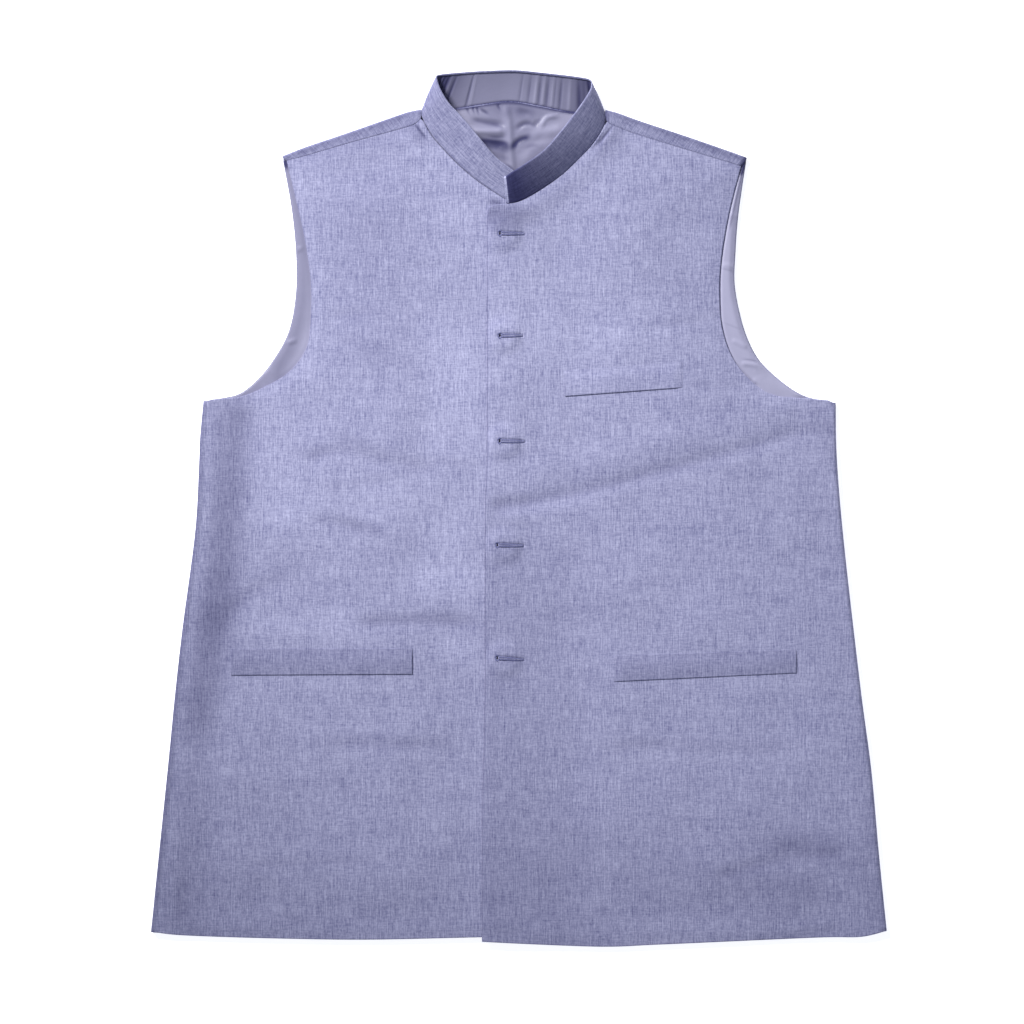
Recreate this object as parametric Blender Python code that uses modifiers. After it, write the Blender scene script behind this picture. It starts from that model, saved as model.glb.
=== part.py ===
"""A sleeveless jacket with a stand collar, laid flat on its back with the front up.

Each piece of cloth is a closed wall of its own, 0.3 mm from its neighbours at the seams. The table is z = 0,
the collar points along +Y, and the wearer's left front, which lies over the right one, is at +X.
"""
import math

import bmesh
import bpy
from mathutils import Vector
from mathutils.geometry import delaunay_2d_cdt

MM = 0.001
NAME = "nehru_jacket"

# Walls and the heights at which they lie, in metres
CLOTH = 1.5 * MM
SEAM_GAP = 0.3 * MM
LINING_LOW = CLOTH + SEAM_GAP
LINING_THICK = 1.0 * MM
FRONT_LOW = LINING_LOW + LINING_THICK + 0.4 * MM
COLLAR_PLY = 1.2 * MM
COLLAR_INNER_START = 1.8 * MM
COLLAR_INNER_END = 2.8 * MM
COLLAR_CLEARANCE = 0.5 * MM
COLLAR_CROWN = 0.6 * MM
LINING_INSET = 1.5 * MM
WELT_THICK = 1.2 * MM

# How far the fronts stand off the lining
PUFF = 2.0 * MM
PUFF_REACH = 80 * MM
SIDE_RISE = 1.1 * MM
SIDE_RISE_REACH = 45 * MM
NECK_RISE = 1.9 * MM
NECK_RISE_REACH = 26 * MM
CENTRE_FLAT = 22 * MM
ROLL_START = 2.9 * MM

# The front opening: the over front's edge, the width of the overlap and the buttons
OVERLAP = 32 * MM
BUTTON_FROM_EDGE = 16 * MM
BUTTON_DIAMETER = 15 * MM
BUTTON_THICK = 1.8 * MM

# Spacing of the cloth's points
FRONT_STEP = 19 * MM
BACK_STEP = 46 * MM
EDGE_STEP = 19 * MM
CORNER_STEP = 5 * MM
STATIONS_PER_ROW = 3
COLLAR_STRIPS = 4

# Edges of the laid jacket. Columns: x, y in millimetres from the middle of the whole outline.
RIGHT_SIDE = [(-326.5, -375.2), (-311.6, -230.8), (-304.9, -163.0), (-298.1, -103.2), (-287.2, -20.0),
              (-283.8, 40.0), (-283.0, 62.0), (-280.0, 95.2)]
LEFT_SIDE = [(326.3, -374.3), (319.3, -306.4), (312.5, -231.8), (303.2, -160.9), (288.9, -36.8),
             (282.2, 40.0), (281.0, 93.6)]
RIGHT_BACK_ARMHOLE = [(-276.5, 96.4), (-262.0, 98.2), (-247.2, 102.2), (-232.2, 114.2), (-218.5, 131.0),
                      (-204.7, 155.9), (-198.4, 186.5), (-197.6, 221.0), (-201.5, 264.4), (-210.0, 311.5)]
LEFT_BACK_ARMHOLE = [(278.1, 95.8), (257.0, 98.7), (237.4, 109.4), (215.2, 129.4), (203.9, 148.4),
                     (196.9, 169.6), (191.5, 198.6), (192.2, 227.4), (194.9, 261.8), (202.0, 310.2)]
RIGHT_FRONT_ARMHOLE = [(-276.5, 96.0), (-262.0, 97.4), (-243.0, 100.2), (-219.1, 111.2), (-202.9, 121.8),
                       (-190.5, 137.7), (-185.5, 155.9), (-184.4, 198.0), (-190.5, 241.4), (-199.8, 282.1),
                       (-205.9, 307.9)]
LEFT_FRONT_ARMHOLE = [(278.1, 95.6), (255.1, 97.7), (226.2, 100.4), (207.1, 112.1), (189.7, 133.3),
                      (180.2, 160.1), (177.9, 189.1), (179.2, 219.7), (185.9, 260.0), (196.9, 303.0)]
RIGHT_HEM = [(-323.4, -375.5), (-295.2, -378.6), (-213.8, -381.3), (-132.4, -382.3), (-33.8, -380.2),
             (-0.8, -379.8)]
LEFT_HEM = [(323.4, -375.1), (303.1, -379.8), (270.9, -380.3), (196.3, -383.5), (121.7, -386.8),
            (67.0, -388.5), (-32.9, -384.0)]
BACK_HEM = [(-323.4, -373.5), (-213.8, -378.0), (-60.0, -379.0), (121.7, -383.0), (270.9, -377.0),
            (323.4, -372.6)]
OVER_EDGE = [(-28.4, 260.0), (-28.4, 62.4), (-30.2, -10.2), (-30.2, -160.9), (-32.4, -258.3),
             (-32.9, -384.0)]
OVER_TOP_CORNER = [(-10.9, 269.7), (-22.0, 268.9), (-27.0, 266.0), (-28.4, 260.0)]
UNDER_TOP_CORNER = [(-9.0, 272.5), (-2.0, 270.0), (2.2, 267.0), (3.6, 260.0)]

# Sections across the shoulders. Columns: the fold's x, y and the shoulder seam's x, y, in millimetres.
RIGHT_SHOULDER = [(-209.7, 312.7, -205.9, 308.3), (-190.0, 320.5, -186.5, 313.4),
                  (-154.2, 332.6, -151.0, 323.8), (-105.5, 349.5, -102.0, 337.2),
                  (-93.5, 352.8, -92.5, 340.6), (-87.5, 353.6, -87.7, 345.2)]
LEFT_SHOULDER = [(202.0, 311.4, 196.9, 303.4), (186.9, 316.9, 184.0, 307.5), (151.5, 329.2, 148.0, 318.3),
                 (107.2, 343.9, 104.0, 332.0), (88.0, 350.8, 86.0, 338.6), (77.8, 353.2, 79.2, 342.6)]

# Sections round the collar, from the end on the right front, round the back, to the end on the left front.
# Columns: the seam's x, y, z and the top edge's x, y, z, in millimetres. ON_FRONT is a seam level with its
# front.
ON_FRONT = None
COLLAR = [
    (-9.0, 272.5, ON_FRONT, 2.0, 294.0, 10.0),
    (-20.0, 279.1, ON_FRONT, -6.2, 299.9, 11.5),
    (-36.0, 289.8, ON_FRONT, -20.4, 310.5, 14.0),
    (-51.0, 302.2, ON_FRONT, -31.8, 323.4, 16.0),
    (-64.5, 315.8, ON_FRONT, -43.2, 337.3, 17.0),
    (-76.0, 329.0, ON_FRONT, -53.5, 348.8, 17.5),
    (-83.3, 341.0, ON_FRONT, -61.7, 357.4, 17.5),
    (-86.2, 347.5, 6.3, -68.3, 367.6, 17.0),
    (-86.7, 351.6, 5.1, -72.6, 377.5, 14.8),
    (-86.0, 353.8, 3.2, -73.3, 382.6, 11.3),
    (-83.3, 354.4, 1.0, -70.5, 384.3, 8.8),
    (-77.0, 354.6, 0.0, -63.0, 385.4, 7.6),
    (-58.7, 355.1, 0.0, -47.0, 386.8, 7.0),
    (-36.0, 358.6, 0.0, -31.0, 387.8, 7.0),
    (-8.0, 361.9, 0.0, -3.6, 388.5, 7.0),
    (18.0, 358.0, 0.0, 21.0, 386.2, 7.0),
    (42.0, 353.1, 0.0, 44.0, 383.6, 7.0),
    (60.0, 351.6, 0.0, 57.0, 381.7, 7.5),
    (70.0, 352.4, 1.0, 62.5, 380.2, 8.8),
    (74.6, 353.2, 3.2, 64.4, 377.6, 11.3),
    (75.9, 350.3, 5.1, 64.2, 372.0, 14.8),
    (76.4, 345.0, 6.3, 61.5, 366.5, 17.0),
    (74.1, 336.5, ON_FRONT, 55.0, 356.5, 18.5),
    (66.5, 324.5, ON_FRONT, 45.5, 343.5, 19.5),
    (55.0, 311.8, ON_FRONT, 33.9, 329.0, 19.8),
    (39.0, 296.4, ON_FRONT, 22.1, 316.0, 19.8),
    (20.0, 282.6, ON_FRONT, 6.4, 304.5, 19.5),
    (1.7, 272.4, ON_FRONT, -5.4, 297.1, 19.0),
    (-10.9, 269.7, ON_FRONT, -12.7, 292.2, 18.5),
]

# Pocket welts. Columns: left x, its bottom y, its top y, right x, its bottom y, its top y, in millimetres.
CHEST_WELT = (40.5, 99.4, 121.8, 144.6, 107.1, 129.5)
LEFT_POCKET_WELT = (84.1, -153.2, -130.4, 245.7, -145.5, -125.0)
RIGHT_POCKET_WELT = (-254.8, -147.6, -124.5, -94.4, -146.6, -123.8)

# The height of each button, which is also that of its buttonhole, in millimetres
BUTTON_HEIGHTS = [243.5, 153.1, 59.5, -32.7, -133.2]

# Folds of the fronts. Columns: x, y of one end, x, y of the other, half width and height, in millimetres.
# A trough has a height below zero.
FOLDS = [
    (-20.0, 4.0, 290.0, 77.0, 20.0, -2.4),
    (-10.0, 34.0, 290.0, 106.0, 36.0, 1.4),
    (-248.0, 100.0, -261.0, -80.0, 20.0, -2.4),
    (-261.0, -80.0, -288.0, -132.0, 18.0, -2.0),
    (230.0, -320.0, 300.0, -294.0, 22.0, -1.8),
    (-330.0, -300.0, -290.0, -390.0, 30.0, -1.2),
    (-205.0, -14.0, -140.0, -24.0, 14.0, -1.6),
]
FOLD_END_FADE = 30 * MM

# What lifts the over front over the under front and its buttons. Columns: distance from its edge and rise,
# in millimetres.
OVER_RISE = [(0.0, 2.3), (5.0, 3.1), (8.5, 4.4), (24.0, 4.4), (34.0, 3.0), (52.0, 1.2), (75.0, 0.0)]


def smooth(value):
    """A soft step from 0 to 1."""
    value = min(max(value, 0.0), 1.0)
    return value * value * (3 - 2 * value)


def curve_through(rows, per_row):
    """Rows of a smooth curve through the given rows, which may have any number of columns."""
    found = []
    last = len(rows) - 1
    for i in range(last):
        before, start, end, after = (Vector(rows[min(max(j, 0), last)]) for j in (i - 1, i, i + 1, i + 2))
        for k in range(per_row):
            t = k / per_row
            bend = (2 * before - 5 * start + 4 * end - after) * t ** 2
            twist = (3 * start - before - 3 * end + after) * t ** 3
            found.append(0.5 * (2 * start + (end - before) * t + bend + twist))
    return found + [Vector(rows[-1])]


def evenly(points, step):
    """Points at even distances along a line of points, both ends kept."""
    lengths = [0.0]
    for a, b in zip(points, points[1:]):
        lengths.append(lengths[-1] + (b - a).length)
    count = max(1, round(lengths[-1] / step))
    found = []
    k = 0
    for i in range(count + 1):
        target = lengths[-1] * i / count
        while k < len(points) - 2 and lengths[k + 1] < target:
            k += 1
        share = (target - lengths[k]) / (lengths[k + 1] - lengths[k])
        found.append(points[k].lerp(points[k + 1], min(share, 1.0)))
    return found


def edge(table, step=EDGE_STEP):
    """An edge of the outline in metres, smooth through its table's rows."""
    return [p * MM for p in evenly(curve_through(table, 8), step / MM)]


def distance_to(point, line):
    """The plan distance from a point to a line of points."""
    nearest = math.inf
    for a, b in zip(line, line[1:]):
        along = b - a
        share = min(max((point - a).dot(along) / along.length_squared, 0.0), 1.0)
        nearest = min(nearest, (point - a - along * share).length)
    return nearest


def inside(point, ring):
    """True where the plan point is inside the closed ring."""
    crossings = 0
    for a, b in zip(ring, ring[1:] + ring[:1]):
        if (a.y > point.y) != (b.y > point.y):
            if point.x < a.x + (b.x - a.x) * (point.y - a.y) / (b.y - a.y):
                crossings += 1
    return crossings % 2 == 1


def read_across(table, value):
    """The second column of a table at a value of its first, in metres."""
    value /= MM
    for (x0, y0), (x1, y1) in zip(table, table[1:]):
        if value <= x1:
            return (y0 + (y1 - y0) * max(value - x0, 0.0) / (x1 - x0)) * MM
    return table[-1][1] * MM


# The neck seam, whose points the collar, the fronts and the back share
first_corner_row = [row[2] is ON_FRONT for row in COLLAR].index(False)
last_corner_row = len(COLLAR) - 1 - [row[2] is ON_FRONT for row in COLLAR[::-1]].index(False)
LAST_RIGHT_STATION = (first_corner_row - 1) * STATIONS_PER_ROW
FIRST_LEFT_STATION = (last_corner_row + 1) * STATIONS_PER_ROW
FLAT_ROWS = [i for i, row in enumerate(COLLAR) if row[2] == 0.0]
BACK_NECK = slice(FLAT_ROWS[0] * STATIONS_PER_ROW, FLAT_ROWS[-1] * STATIONS_PER_ROW + 1)
seam_line = [p * MM for p in curve_through([row[:2] for row in COLLAR], STATIONS_PER_ROW)]
right_neck = seam_line[:LAST_RIGHT_STATION + 2]
left_neck = seam_line[FIRST_LEFT_STATION - 1:]
back_neck = seam_line[BACK_NECK]

right_side = edge(RIGHT_SIDE)
left_side = edge(LEFT_SIDE)
over_edge = edge(OVER_EDGE)
calm_edges = [edge(table) for table in (RIGHT_FRONT_ARMHOLE, LEFT_FRONT_ARMHOLE, RIGHT_HEM, LEFT_HEM)]
calm_edges += [right_neck, left_neck]
calm_edges += [[Vector(row[2:]) * MM for row in table] for table in (RIGHT_SHOULDER, LEFT_SHOULDER)]


def from_over_edge(point):
    """How far to the wearer's left of the over front's edge a point is."""
    return point.x - read_across([(-y, x) for x, y in OVER_EDGE], -point.y)


def fold_height(point):
    """The sum of the folds at a point."""
    total = 0.0
    for x0, y0, x1, y1, half_width, height in FOLDS:
        start, end = Vector((x0, y0)) * MM, Vector((x1, y1)) * MM
        along = (end - start).normalized()
        run = (point - start).dot(along)
        off = abs((point - start).cross(along))
        inner = min(run, (end - start).length - run)
        faded = smooth((inner + FOLD_END_FADE) / FOLD_END_FADE)
        total += height * MM * smooth(1 - off / (half_width * MM)) * faded
    return total


def front_low(point):
    """The height of a front's underside over the table, without what the overlap adds."""
    side = min(distance_to(point, right_side), distance_to(point, left_side))
    calm = min(distance_to(point, line) for line in calm_edges)
    centre = abs(from_over_edge(point) - OVERLAP / 2)
    side_rise = SIDE_RISE * smooth(1 - side / SIDE_RISE_REACH)
    neck = min(distance_to(point, right_neck), distance_to(point, left_neck))
    neck_rise = NECK_RISE * smooth(1 - neck / NECK_RISE_REACH)
    loose = smooth((centre - CENTRE_FLAT) / PUFF_REACH) * smooth(calm / PUFF_REACH)
    away = smooth(calm / FOLD_END_FADE) * smooth((centre - CENTRE_FLAT) / FOLD_END_FADE)
    folds = fold_height(point) * away
    return FRONT_LOW + max(side_rise + neck_rise + PUFF * loose + folds, 0.0)


def over_front_low(point):
    """The height of the over front's underside."""
    return front_low(point) + read_across(OVER_RISE, from_over_edge(point))


def fill(ring, lines, step):
    """Triangles that fill a closed ring of plan points, with the given lines kept as edges.

    Returns the plan points, which start with the ring's own, and the triangles.
    """
    points = list(ring)
    kept_edges = []
    for line in lines:
        first = len(points)
        points += line
        kept_edges += [(first + i, first + i + 1) for i in range(len(line) - 1)]
    borders = [ring + ring[:1]] + lines
    row_step = step * math.sqrt(0.75)
    low_x, high_x = min(p.x for p in ring), max(p.x for p in ring)
    low_y, high_y = min(p.y for p in ring), max(p.y for p in ring)
    for row in range(int((high_y - low_y) / row_step) + 1):
        for column in range(int((high_x - low_x) / step) + 1):
            point = Vector((low_x + (column + 0.5 * (row % 2)) * step, low_y + row * row_step))
            if inside(point, ring) and min(distance_to(point, line) for line in borders) > 0.55 * step:
                points.append(point)
    found = delaunay_2d_cdt(points, kept_edges, [list(range(len(ring)))], 1, 1e-7)
    return [Vector(p) for p in found[0]], [tuple(face) for face in found[2]]


def at_height(point, height):
    """A plan point with a height."""
    return Vector((point.x, point.y, height))


def outward(line, turn):
    """Unit plan normals of a line of points, on its right hand where turn is 1, else on its left."""
    normals = []
    for i in range(len(line)):
        along = line[min(i + 1, len(line) - 1)] - line[max(i - 1, 0)]
        normals.append(Vector((along.y, -along.x)).normalized() * turn)
    return normals


def material(name, colour, roughness):
    """A Principled material."""
    made = bpy.data.materials.new(name)
    made.use_nodes = True
    shader = made.node_tree.nodes["Principled BSDF"]
    shader.inputs["Base Color"].default_value = (*colour, 1)
    shader.inputs["Roughness"].default_value = roughness
    shader.inputs["Metallic"].default_value = 0.0
    return made


def link(name, mesh, look):
    """An object of the jacket's collection, with its material."""
    thing = bpy.data.objects.new(name, mesh)
    mesh.materials.append(look)
    jacket.objects.link(thing)
    return thing


def wall(name, faces, outer, inner, look):
    """A closed wall between two layers of points, with a rim round its open edges."""
    build = bmesh.new()
    count = len(outer)
    verts = [build.verts.new(p) for p in outer + inner]
    shared = {}
    for face in faces:
        build.faces.new([verts[i] for i in face])
        build.faces.new([verts[i + count] for i in reversed(face)])
        for a, b in zip(face, face[1:] + face[:1]):
            shared[frozenset((a, b))] = shared.get(frozenset((a, b)), 0) + 1
    for a, b in (tuple(pair) for pair, faces_there in shared.items() if faces_there == 1):
        build.faces.new([verts[b], verts[a], verts[a + count], verts[b + count]])
    loose = [v for v in build.verts if not v.link_faces]
    bmesh.ops.delete(build, geom=loose, context="VERTS")
    bmesh.ops.recalc_face_normals(build, faces=build.faces)
    bmesh.ops.triangulate(build, faces=build.faces)
    mesh = bpy.data.meshes.new(name)
    build.to_mesh(mesh)
    build.free()
    mesh.shade_smooth()
    mesh.set_sharp_from_angle(angle=math.radians(50))
    return link(name, mesh, look)


class Cloth:
    """A piece of cloth: its faces and, for each point, the place on its outer and on its inner side."""

    def __init__(self, plan, faces, outer_height, inner_height):
        self.faces = list(faces)
        self.outer = [at_height(p, outer_height(p)) for p in plan]
        self.inner = [at_height(p, inner_height(p)) for p in plan]

    def add_rows(self, start_ids, rows):
        """Adds rows of points, each a list of (outer, inner), beyond an edge of the cloth."""
        before = start_ids
        for row in rows:
            ids = list(range(len(self.outer), len(self.outer) + len(row)))
            self.outer += [pair[0] for pair in row]
            self.inner += [pair[1] for pair in row]
            for i in range(len(row) - 1):
                self.faces.append((before[i], before[i + 1], ids[i + 1], ids[i]))
            before = ids


SIDE_ANGLES = [math.radians(a) for a in (32, 62, 90)]
SHOULDER_ANGLES = [math.radians(a) for a in (-50, -10, 30, 62, 90)]


def side_rows(side_line, normals, radii, upward):
    """Rows that carry a front (upward 1) or the back (upward -1) round the side to the side seam."""
    rows = []
    for angle in SIDE_ANGLES:
        row = []
        for point, normal, radius in zip(side_line, normals, radii):
            base = point - normal * radius
            pair = []
            for reach in (radius, radius - CLOTH):
                rise = max(reach * math.cos(angle), SEAM_GAP / 2)
                pair.append(at_height(base + normal * reach * math.sin(angle), radius + upward * rise))
            row.append(pair)
        rows.append(row)
    return rows


def shoulder_rows(folds, seams, normals, radii):
    """Rows that carry the back round the shoulder's fold and forward to the shoulder seam."""
    rows = []
    for angle in SHOULDER_ANGLES:
        row = []
        for fold, normal, radius in zip(folds, normals, radii):
            base = fold - normal * radius
            row.append([at_height(base + normal * reach * math.cos(angle), radius + reach * math.sin(angle))
                        for reach in (radius, radius - CLOTH)])
        rows.append(row)
    tops = [(seam, 2 * radius) for seam, radius in zip(seams, radii)]
    rows.append([[at_height(seam, top), at_height(seam, top - CLOTH)] for seam, top in tops])
    return rows


def radii_under(points):
    """For each point, the radius of a roll from the table to the top of the front there."""
    return [(front_low(p) + CLOTH) / 2 for p in points]


def ids_of(points, plan):
    """Where the given plan points are in a filled plan."""
    return [min(range(len(plan)), key=lambda i: (plan[i] - p).length_squared) for p in points]


def moved(points, dx, dy):
    """Plan points moved."""
    return [p + Vector((dx, dy)) for p in points]


def inset(line, turn):
    """A line moved towards the middle of the cloth: to its left hand where turn is 1, else to its right."""
    return [p - n * LINING_INSET for p, n in zip(line, outward(line, -turn))]


def welt_ring(sizes):
    """The closed ring of a welt, with points along its long edges."""
    left, left_low, left_high, right, right_low, right_high = (v * MM for v in sizes)
    bottom = evenly([Vector((left, left_low)), Vector((right, right_low))], FRONT_STEP)
    top = evenly([Vector((right, right_high)), Vector((left, left_high))], FRONT_STEP)
    return bottom + top


for thing in list(bpy.data.objects):
    bpy.data.objects.remove(thing, do_unlink=True)
jacket = bpy.data.collections.new(NAME)
bpy.context.scene.collection.children.link(jacket)

chambray = material("blue_chambray", (0.36, 0.37, 0.58), 0.85)
chambray_dark = material("blue_chambray_folded", (0.33, 0.34, 0.54), 0.85)
satin = material("lining_satin", (0.36, 0.36, 0.48), 0.45)
horn = material("button_blue", (0.10, 0.11, 0.20), 0.35)

# The rolls at the sides, which the fronts and the back share
right_normals = outward(right_side, -1)
left_normals = outward(left_side, 1)
right_radii = radii_under([p - n * ROLL_START for p, n in zip(right_side, right_normals)])
left_radii = radii_under([p - n * ROLL_START for p, n in zip(left_side, left_normals)])
right_side_base = [p - n * r for p, n, r in zip(right_side, right_normals, right_radii)]
left_side_base = [p - n * r for p, n, r in zip(left_side, left_normals, left_radii)]

# The shoulders' folds and seams, from the armhole to the neck
right_sections = [Vector(row) * MM for row in curve_through(RIGHT_SHOULDER, 2)]
left_sections = [Vector(row) * MM for row in curve_through(LEFT_SHOULDER, 2)]


def split(sections):
    """The folds and the seams of shoulder sections, as plan points."""
    return [Vector(row[:2]) for row in sections], [Vector(row[2:]) for row in sections]


right_folds, right_seams = split(right_sections)
left_folds, left_seams = split(left_sections)
right_fold_normals = outward(right_folds, -1)
left_fold_normals = outward(left_folds, 1)
right_fold_radii = radii_under(right_seams)
left_fold_radii = radii_under(left_seams)
right_fold_base = [p - n * r for p, n, r in zip(right_folds, right_fold_normals, right_fold_radii)]
left_fold_base = [p - n * r for p, n, r in zip(left_folds, left_fold_normals, left_fold_radii)]

# Back: flat on the table, rolled up at the sides and forward over the shoulders
hem = edge(BACK_HEM, BACK_STEP)[1:-1]
left_armhole = edge(LEFT_BACK_ARMHOLE)
right_armhole = edge(RIGHT_BACK_ARMHOLE)
back_ring = (right_side_base[:1] + hem + left_side_base + left_armhole[1:-1] + left_fold_base
             + back_neck[::-1] + right_fold_base[::-1] + right_armhole[-2:0:-1] + right_side_base[:0:-1])
plan, faces = fill(back_ring, [], BACK_STEP)
back = Cloth(plan, faces, lambda p: 0.0, lambda p: CLOTH)
back.add_rows(ids_of(right_side_base, plan), side_rows(right_side, right_normals, right_radii, -1))
back.add_rows(ids_of(left_side_base, plan), side_rows(left_side, left_normals, left_radii, -1))
back.add_rows(ids_of(right_fold_base, plan),
              shoulder_rows(right_folds, right_seams, right_fold_normals, right_fold_radii))
back.add_rows(ids_of(left_fold_base, plan),
              shoulder_rows(left_folds, left_seams, left_fold_normals, left_fold_radii))
wall("back", back.faces, back.outer, back.inner, chambray)

# Lining of the back: satin just inside the back's edges
lining_ring = (moved(right_side_base[:1], LINING_INSET, LINING_INSET) + moved(hem, 0, LINING_INSET)
               + moved(left_side_base, -LINING_INSET, 0) + inset(left_armhole[1:-1], -1)
               + inset(left_fold_base, -1) + moved(back_neck[::-1], 0, -LINING_INSET)
               + inset(right_fold_base, 1)[::-1] + inset(right_armhole[1:-1], 1)[::-1]
               + moved(right_side_base[:0:-1], LINING_INSET, 0))
plan, faces = fill(lining_ring, [], BACK_STEP)
lining = Cloth(plan, faces, lambda p: LINING_LOW + LINING_THICK, lambda p: LINING_LOW)
wall("back_lining", lining.faces, lining.outer, lining.inner, satin)


def front(name, ring, lines, low, side_base, side_line, normals, radii):
    """A front panel on the height that low gives, rolled down at its side. Returns its plan too."""
    plan, faces = fill(ring, lines, FRONT_STEP)
    cloth = Cloth(plan, faces, lambda p: low(p) + CLOTH, low)
    cloth.add_rows(ids_of(side_base, plan), side_rows(side_line, normals, radii, 1))
    wall(name, cloth.faces, cloth.outer, cloth.inner, chambray)
    return cloth, plan, faces


# Wearer's right front, which lies under
right_front_seam = [p - n * SEAM_GAP for p, n in zip(right_seams, right_fold_normals)]
left_front_seam = [p - n * SEAM_GAP for p, n in zip(left_seams, left_fold_normals)]
under_edge = [p + Vector((OVERLAP, 0)) for p in edge(OVER_EDGE)]
under_corner = edge(UNDER_TOP_CORNER, CORNER_STEP)
right_ring = (right_side_base[:1] + edge(RIGHT_HEM)[1:-1] + under_edge[::-1] + under_corner[-2:0:-1]
              + right_neck + right_front_seam[::-1] + edge(RIGHT_FRONT_ARMHOLE)[-2:0:-1]
              + right_side_base[:0:-1])
right_welt = welt_ring(RIGHT_POCKET_WELT)
right_front, right_plan, right_faces = front(
    "right_front", right_ring, [right_welt + right_welt[:1]], front_low, right_side_base, right_side,
    right_normals, right_radii)

# Wearer's left front, which lies over it
over_corner = edge(OVER_TOP_CORNER, CORNER_STEP)
left_ring = (left_side_base[:1] + edge(LEFT_HEM)[1:-1] + over_edge[::-1] + over_corner[-2:0:-1]
             + left_neck[::-1] + left_front_seam[::-1] + edge(LEFT_FRONT_ARMHOLE)[-2:0:-1]
             + left_side_base[:0:-1])[::-1]
left_welt = welt_ring(LEFT_POCKET_WELT)
chest_welt = welt_ring(CHEST_WELT)
edge_rows = [[p + Vector((reach * MM, 0)) for p in over_edge[1:-1]] for reach, _ in OVER_RISE[1:-1]]
left_lines = [left_welt + left_welt[:1], chest_welt + chest_welt[:1]] + edge_rows
left_front, left_plan, left_faces = front(
    "left_front", left_ring, left_lines, over_front_low, left_side_base, left_side, left_normals, left_radii)


def welt(name, ring, panel, plan, faces):
    """A welt: the panel's own triangles inside its ring, moved out."""
    inner_faces = [face for face in faces if inside(sum((plan[i] for i in face), Vector((0, 0))) / 3, ring)]
    used = sorted({i for face in inner_faces for i in face})
    place = {old: new for new, old in enumerate(used)}
    outer, inner = ([panel.outer[i] + Vector((0, 0, rise)) for i in used]
                    for rise in (SEAM_GAP + WELT_THICK, SEAM_GAP))
    wall(name, [tuple(place[i] for i in face) for face in inner_faces], outer, inner, chambray_dark)


welt("chest_welt", chest_welt, left_front, left_plan, left_faces)
welt("left_pocket_welt", left_welt, left_front, left_plan, left_faces)
welt("right_pocket_welt", right_welt, right_front, right_plan, right_faces)


# Collar: one band of two plies round the neck, its seam edge level with the fronts and off the neck edges
def seam_height(row):
    """The height of the collar's seam at a row of its table."""
    here = Vector(row[:2]) * MM
    if row[2] is not ON_FRONT:
        return row[2]
    return ((front_low if row[0] < 0 and row is not COLLAR[-1] else over_front_low)(here) + CLOTH) / MM


collar_rows = [(row[0], row[1], seam_height(row), *row[3:]) for row in COLLAR]
stations = [row * MM for row in curve_through(collar_rows, STATIONS_PER_ROW)]
seam_points = [Vector(row[:3]) for row in stations]
top_points = [Vector(row[3:]) for row in stations]


def collar_point(i, j):
    """A point of the collar's outer face, at a station and at a share of its width."""
    start, end = seam_points[i], top_points[i]
    start = start + (end - start).normalized() * COLLAR_CLEARANCE
    crown = COLLAR_CROWN * math.sin(math.pi * j / COLLAR_STRIPS)
    return start.lerp(end, j / COLLAR_STRIPS) - collar_inward(i) * crown


def collar_inward(i):
    """The unit normal at a station, from the collar's outer face to its inner face."""
    last = len(stations) - 1
    before, after = max(i - 1, 0), min(i + 1, last)
    along = (seam_points[after] + top_points[after]) - (seam_points[before] + top_points[before])
    return along.cross(top_points[i] - seam_points[i]).normalized()


def collar_ply(name, start, end, look):
    """One ply of the collar, between two depths under its outer face."""
    width = COLLAR_STRIPS + 1
    faces = [(i * width + j, (i + 1) * width + j, (i + 1) * width + j + 1, i * width + j + 1)
             for i in range(len(stations) - 1) for j in range(COLLAR_STRIPS)]
    places = [(i, j) for i in range(len(stations)) for j in range(width)]
    layers = [[collar_point(i, j) + collar_inward(i) * depth for i, j in places] for depth in (start, end)]
    wall(name, faces, layers[0], layers[1], look)


collar_ply("collar_outer", 0.0, COLLAR_PLY, chambray)
collar_ply("collar_inner", COLLAR_INNER_START, COLLAR_INNER_END, satin)

# Buttons: flat, sewn on the under front beneath the over front
for number, height in enumerate(BUTTON_HEIGHTS, 1):
    y = height * MM
    x = read_across([(-v, u) for u, v in OVER_EDGE], -y) + BUTTON_FROM_EDGE
    around = [Vector((x + BUTTON_DIAMETER / 2 * math.cos(a), y + BUTTON_DIAMETER / 2 * math.sin(a)))
              for a in (k * math.pi / 4 for k in range(8))]
    z = max(front_low(p) for p in around) + CLOTH + SEAM_GAP + BUTTON_THICK / 2
    bpy.ops.mesh.primitive_cylinder_add(
        vertices=24, radius=BUTTON_DIAMETER / 2, depth=BUTTON_THICK, location=(x, y, z))
    button = bpy.context.object
    button.name = f"button_{number}"
    button.data.materials.append(horn)
    button.data.shade_smooth()
    button.data.set_sharp_from_angle(angle=math.radians(40))
    for collection in list(button.users_collection):
        collection.objects.unlink(button)
    jacket.objects.link(button)
    bevel = button.modifiers.new("rounded rim", "BEVEL")
    bevel.width = 0.4 * MM
    bevel.segments = 1
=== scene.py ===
"""The looks of a sleeveless jacket with a stand collar, laid flat on its back with the front up."""
import math

import bpy
import numpy as np
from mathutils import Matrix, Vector
from mathutils.geometry import delaunay_2d_cdt


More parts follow.
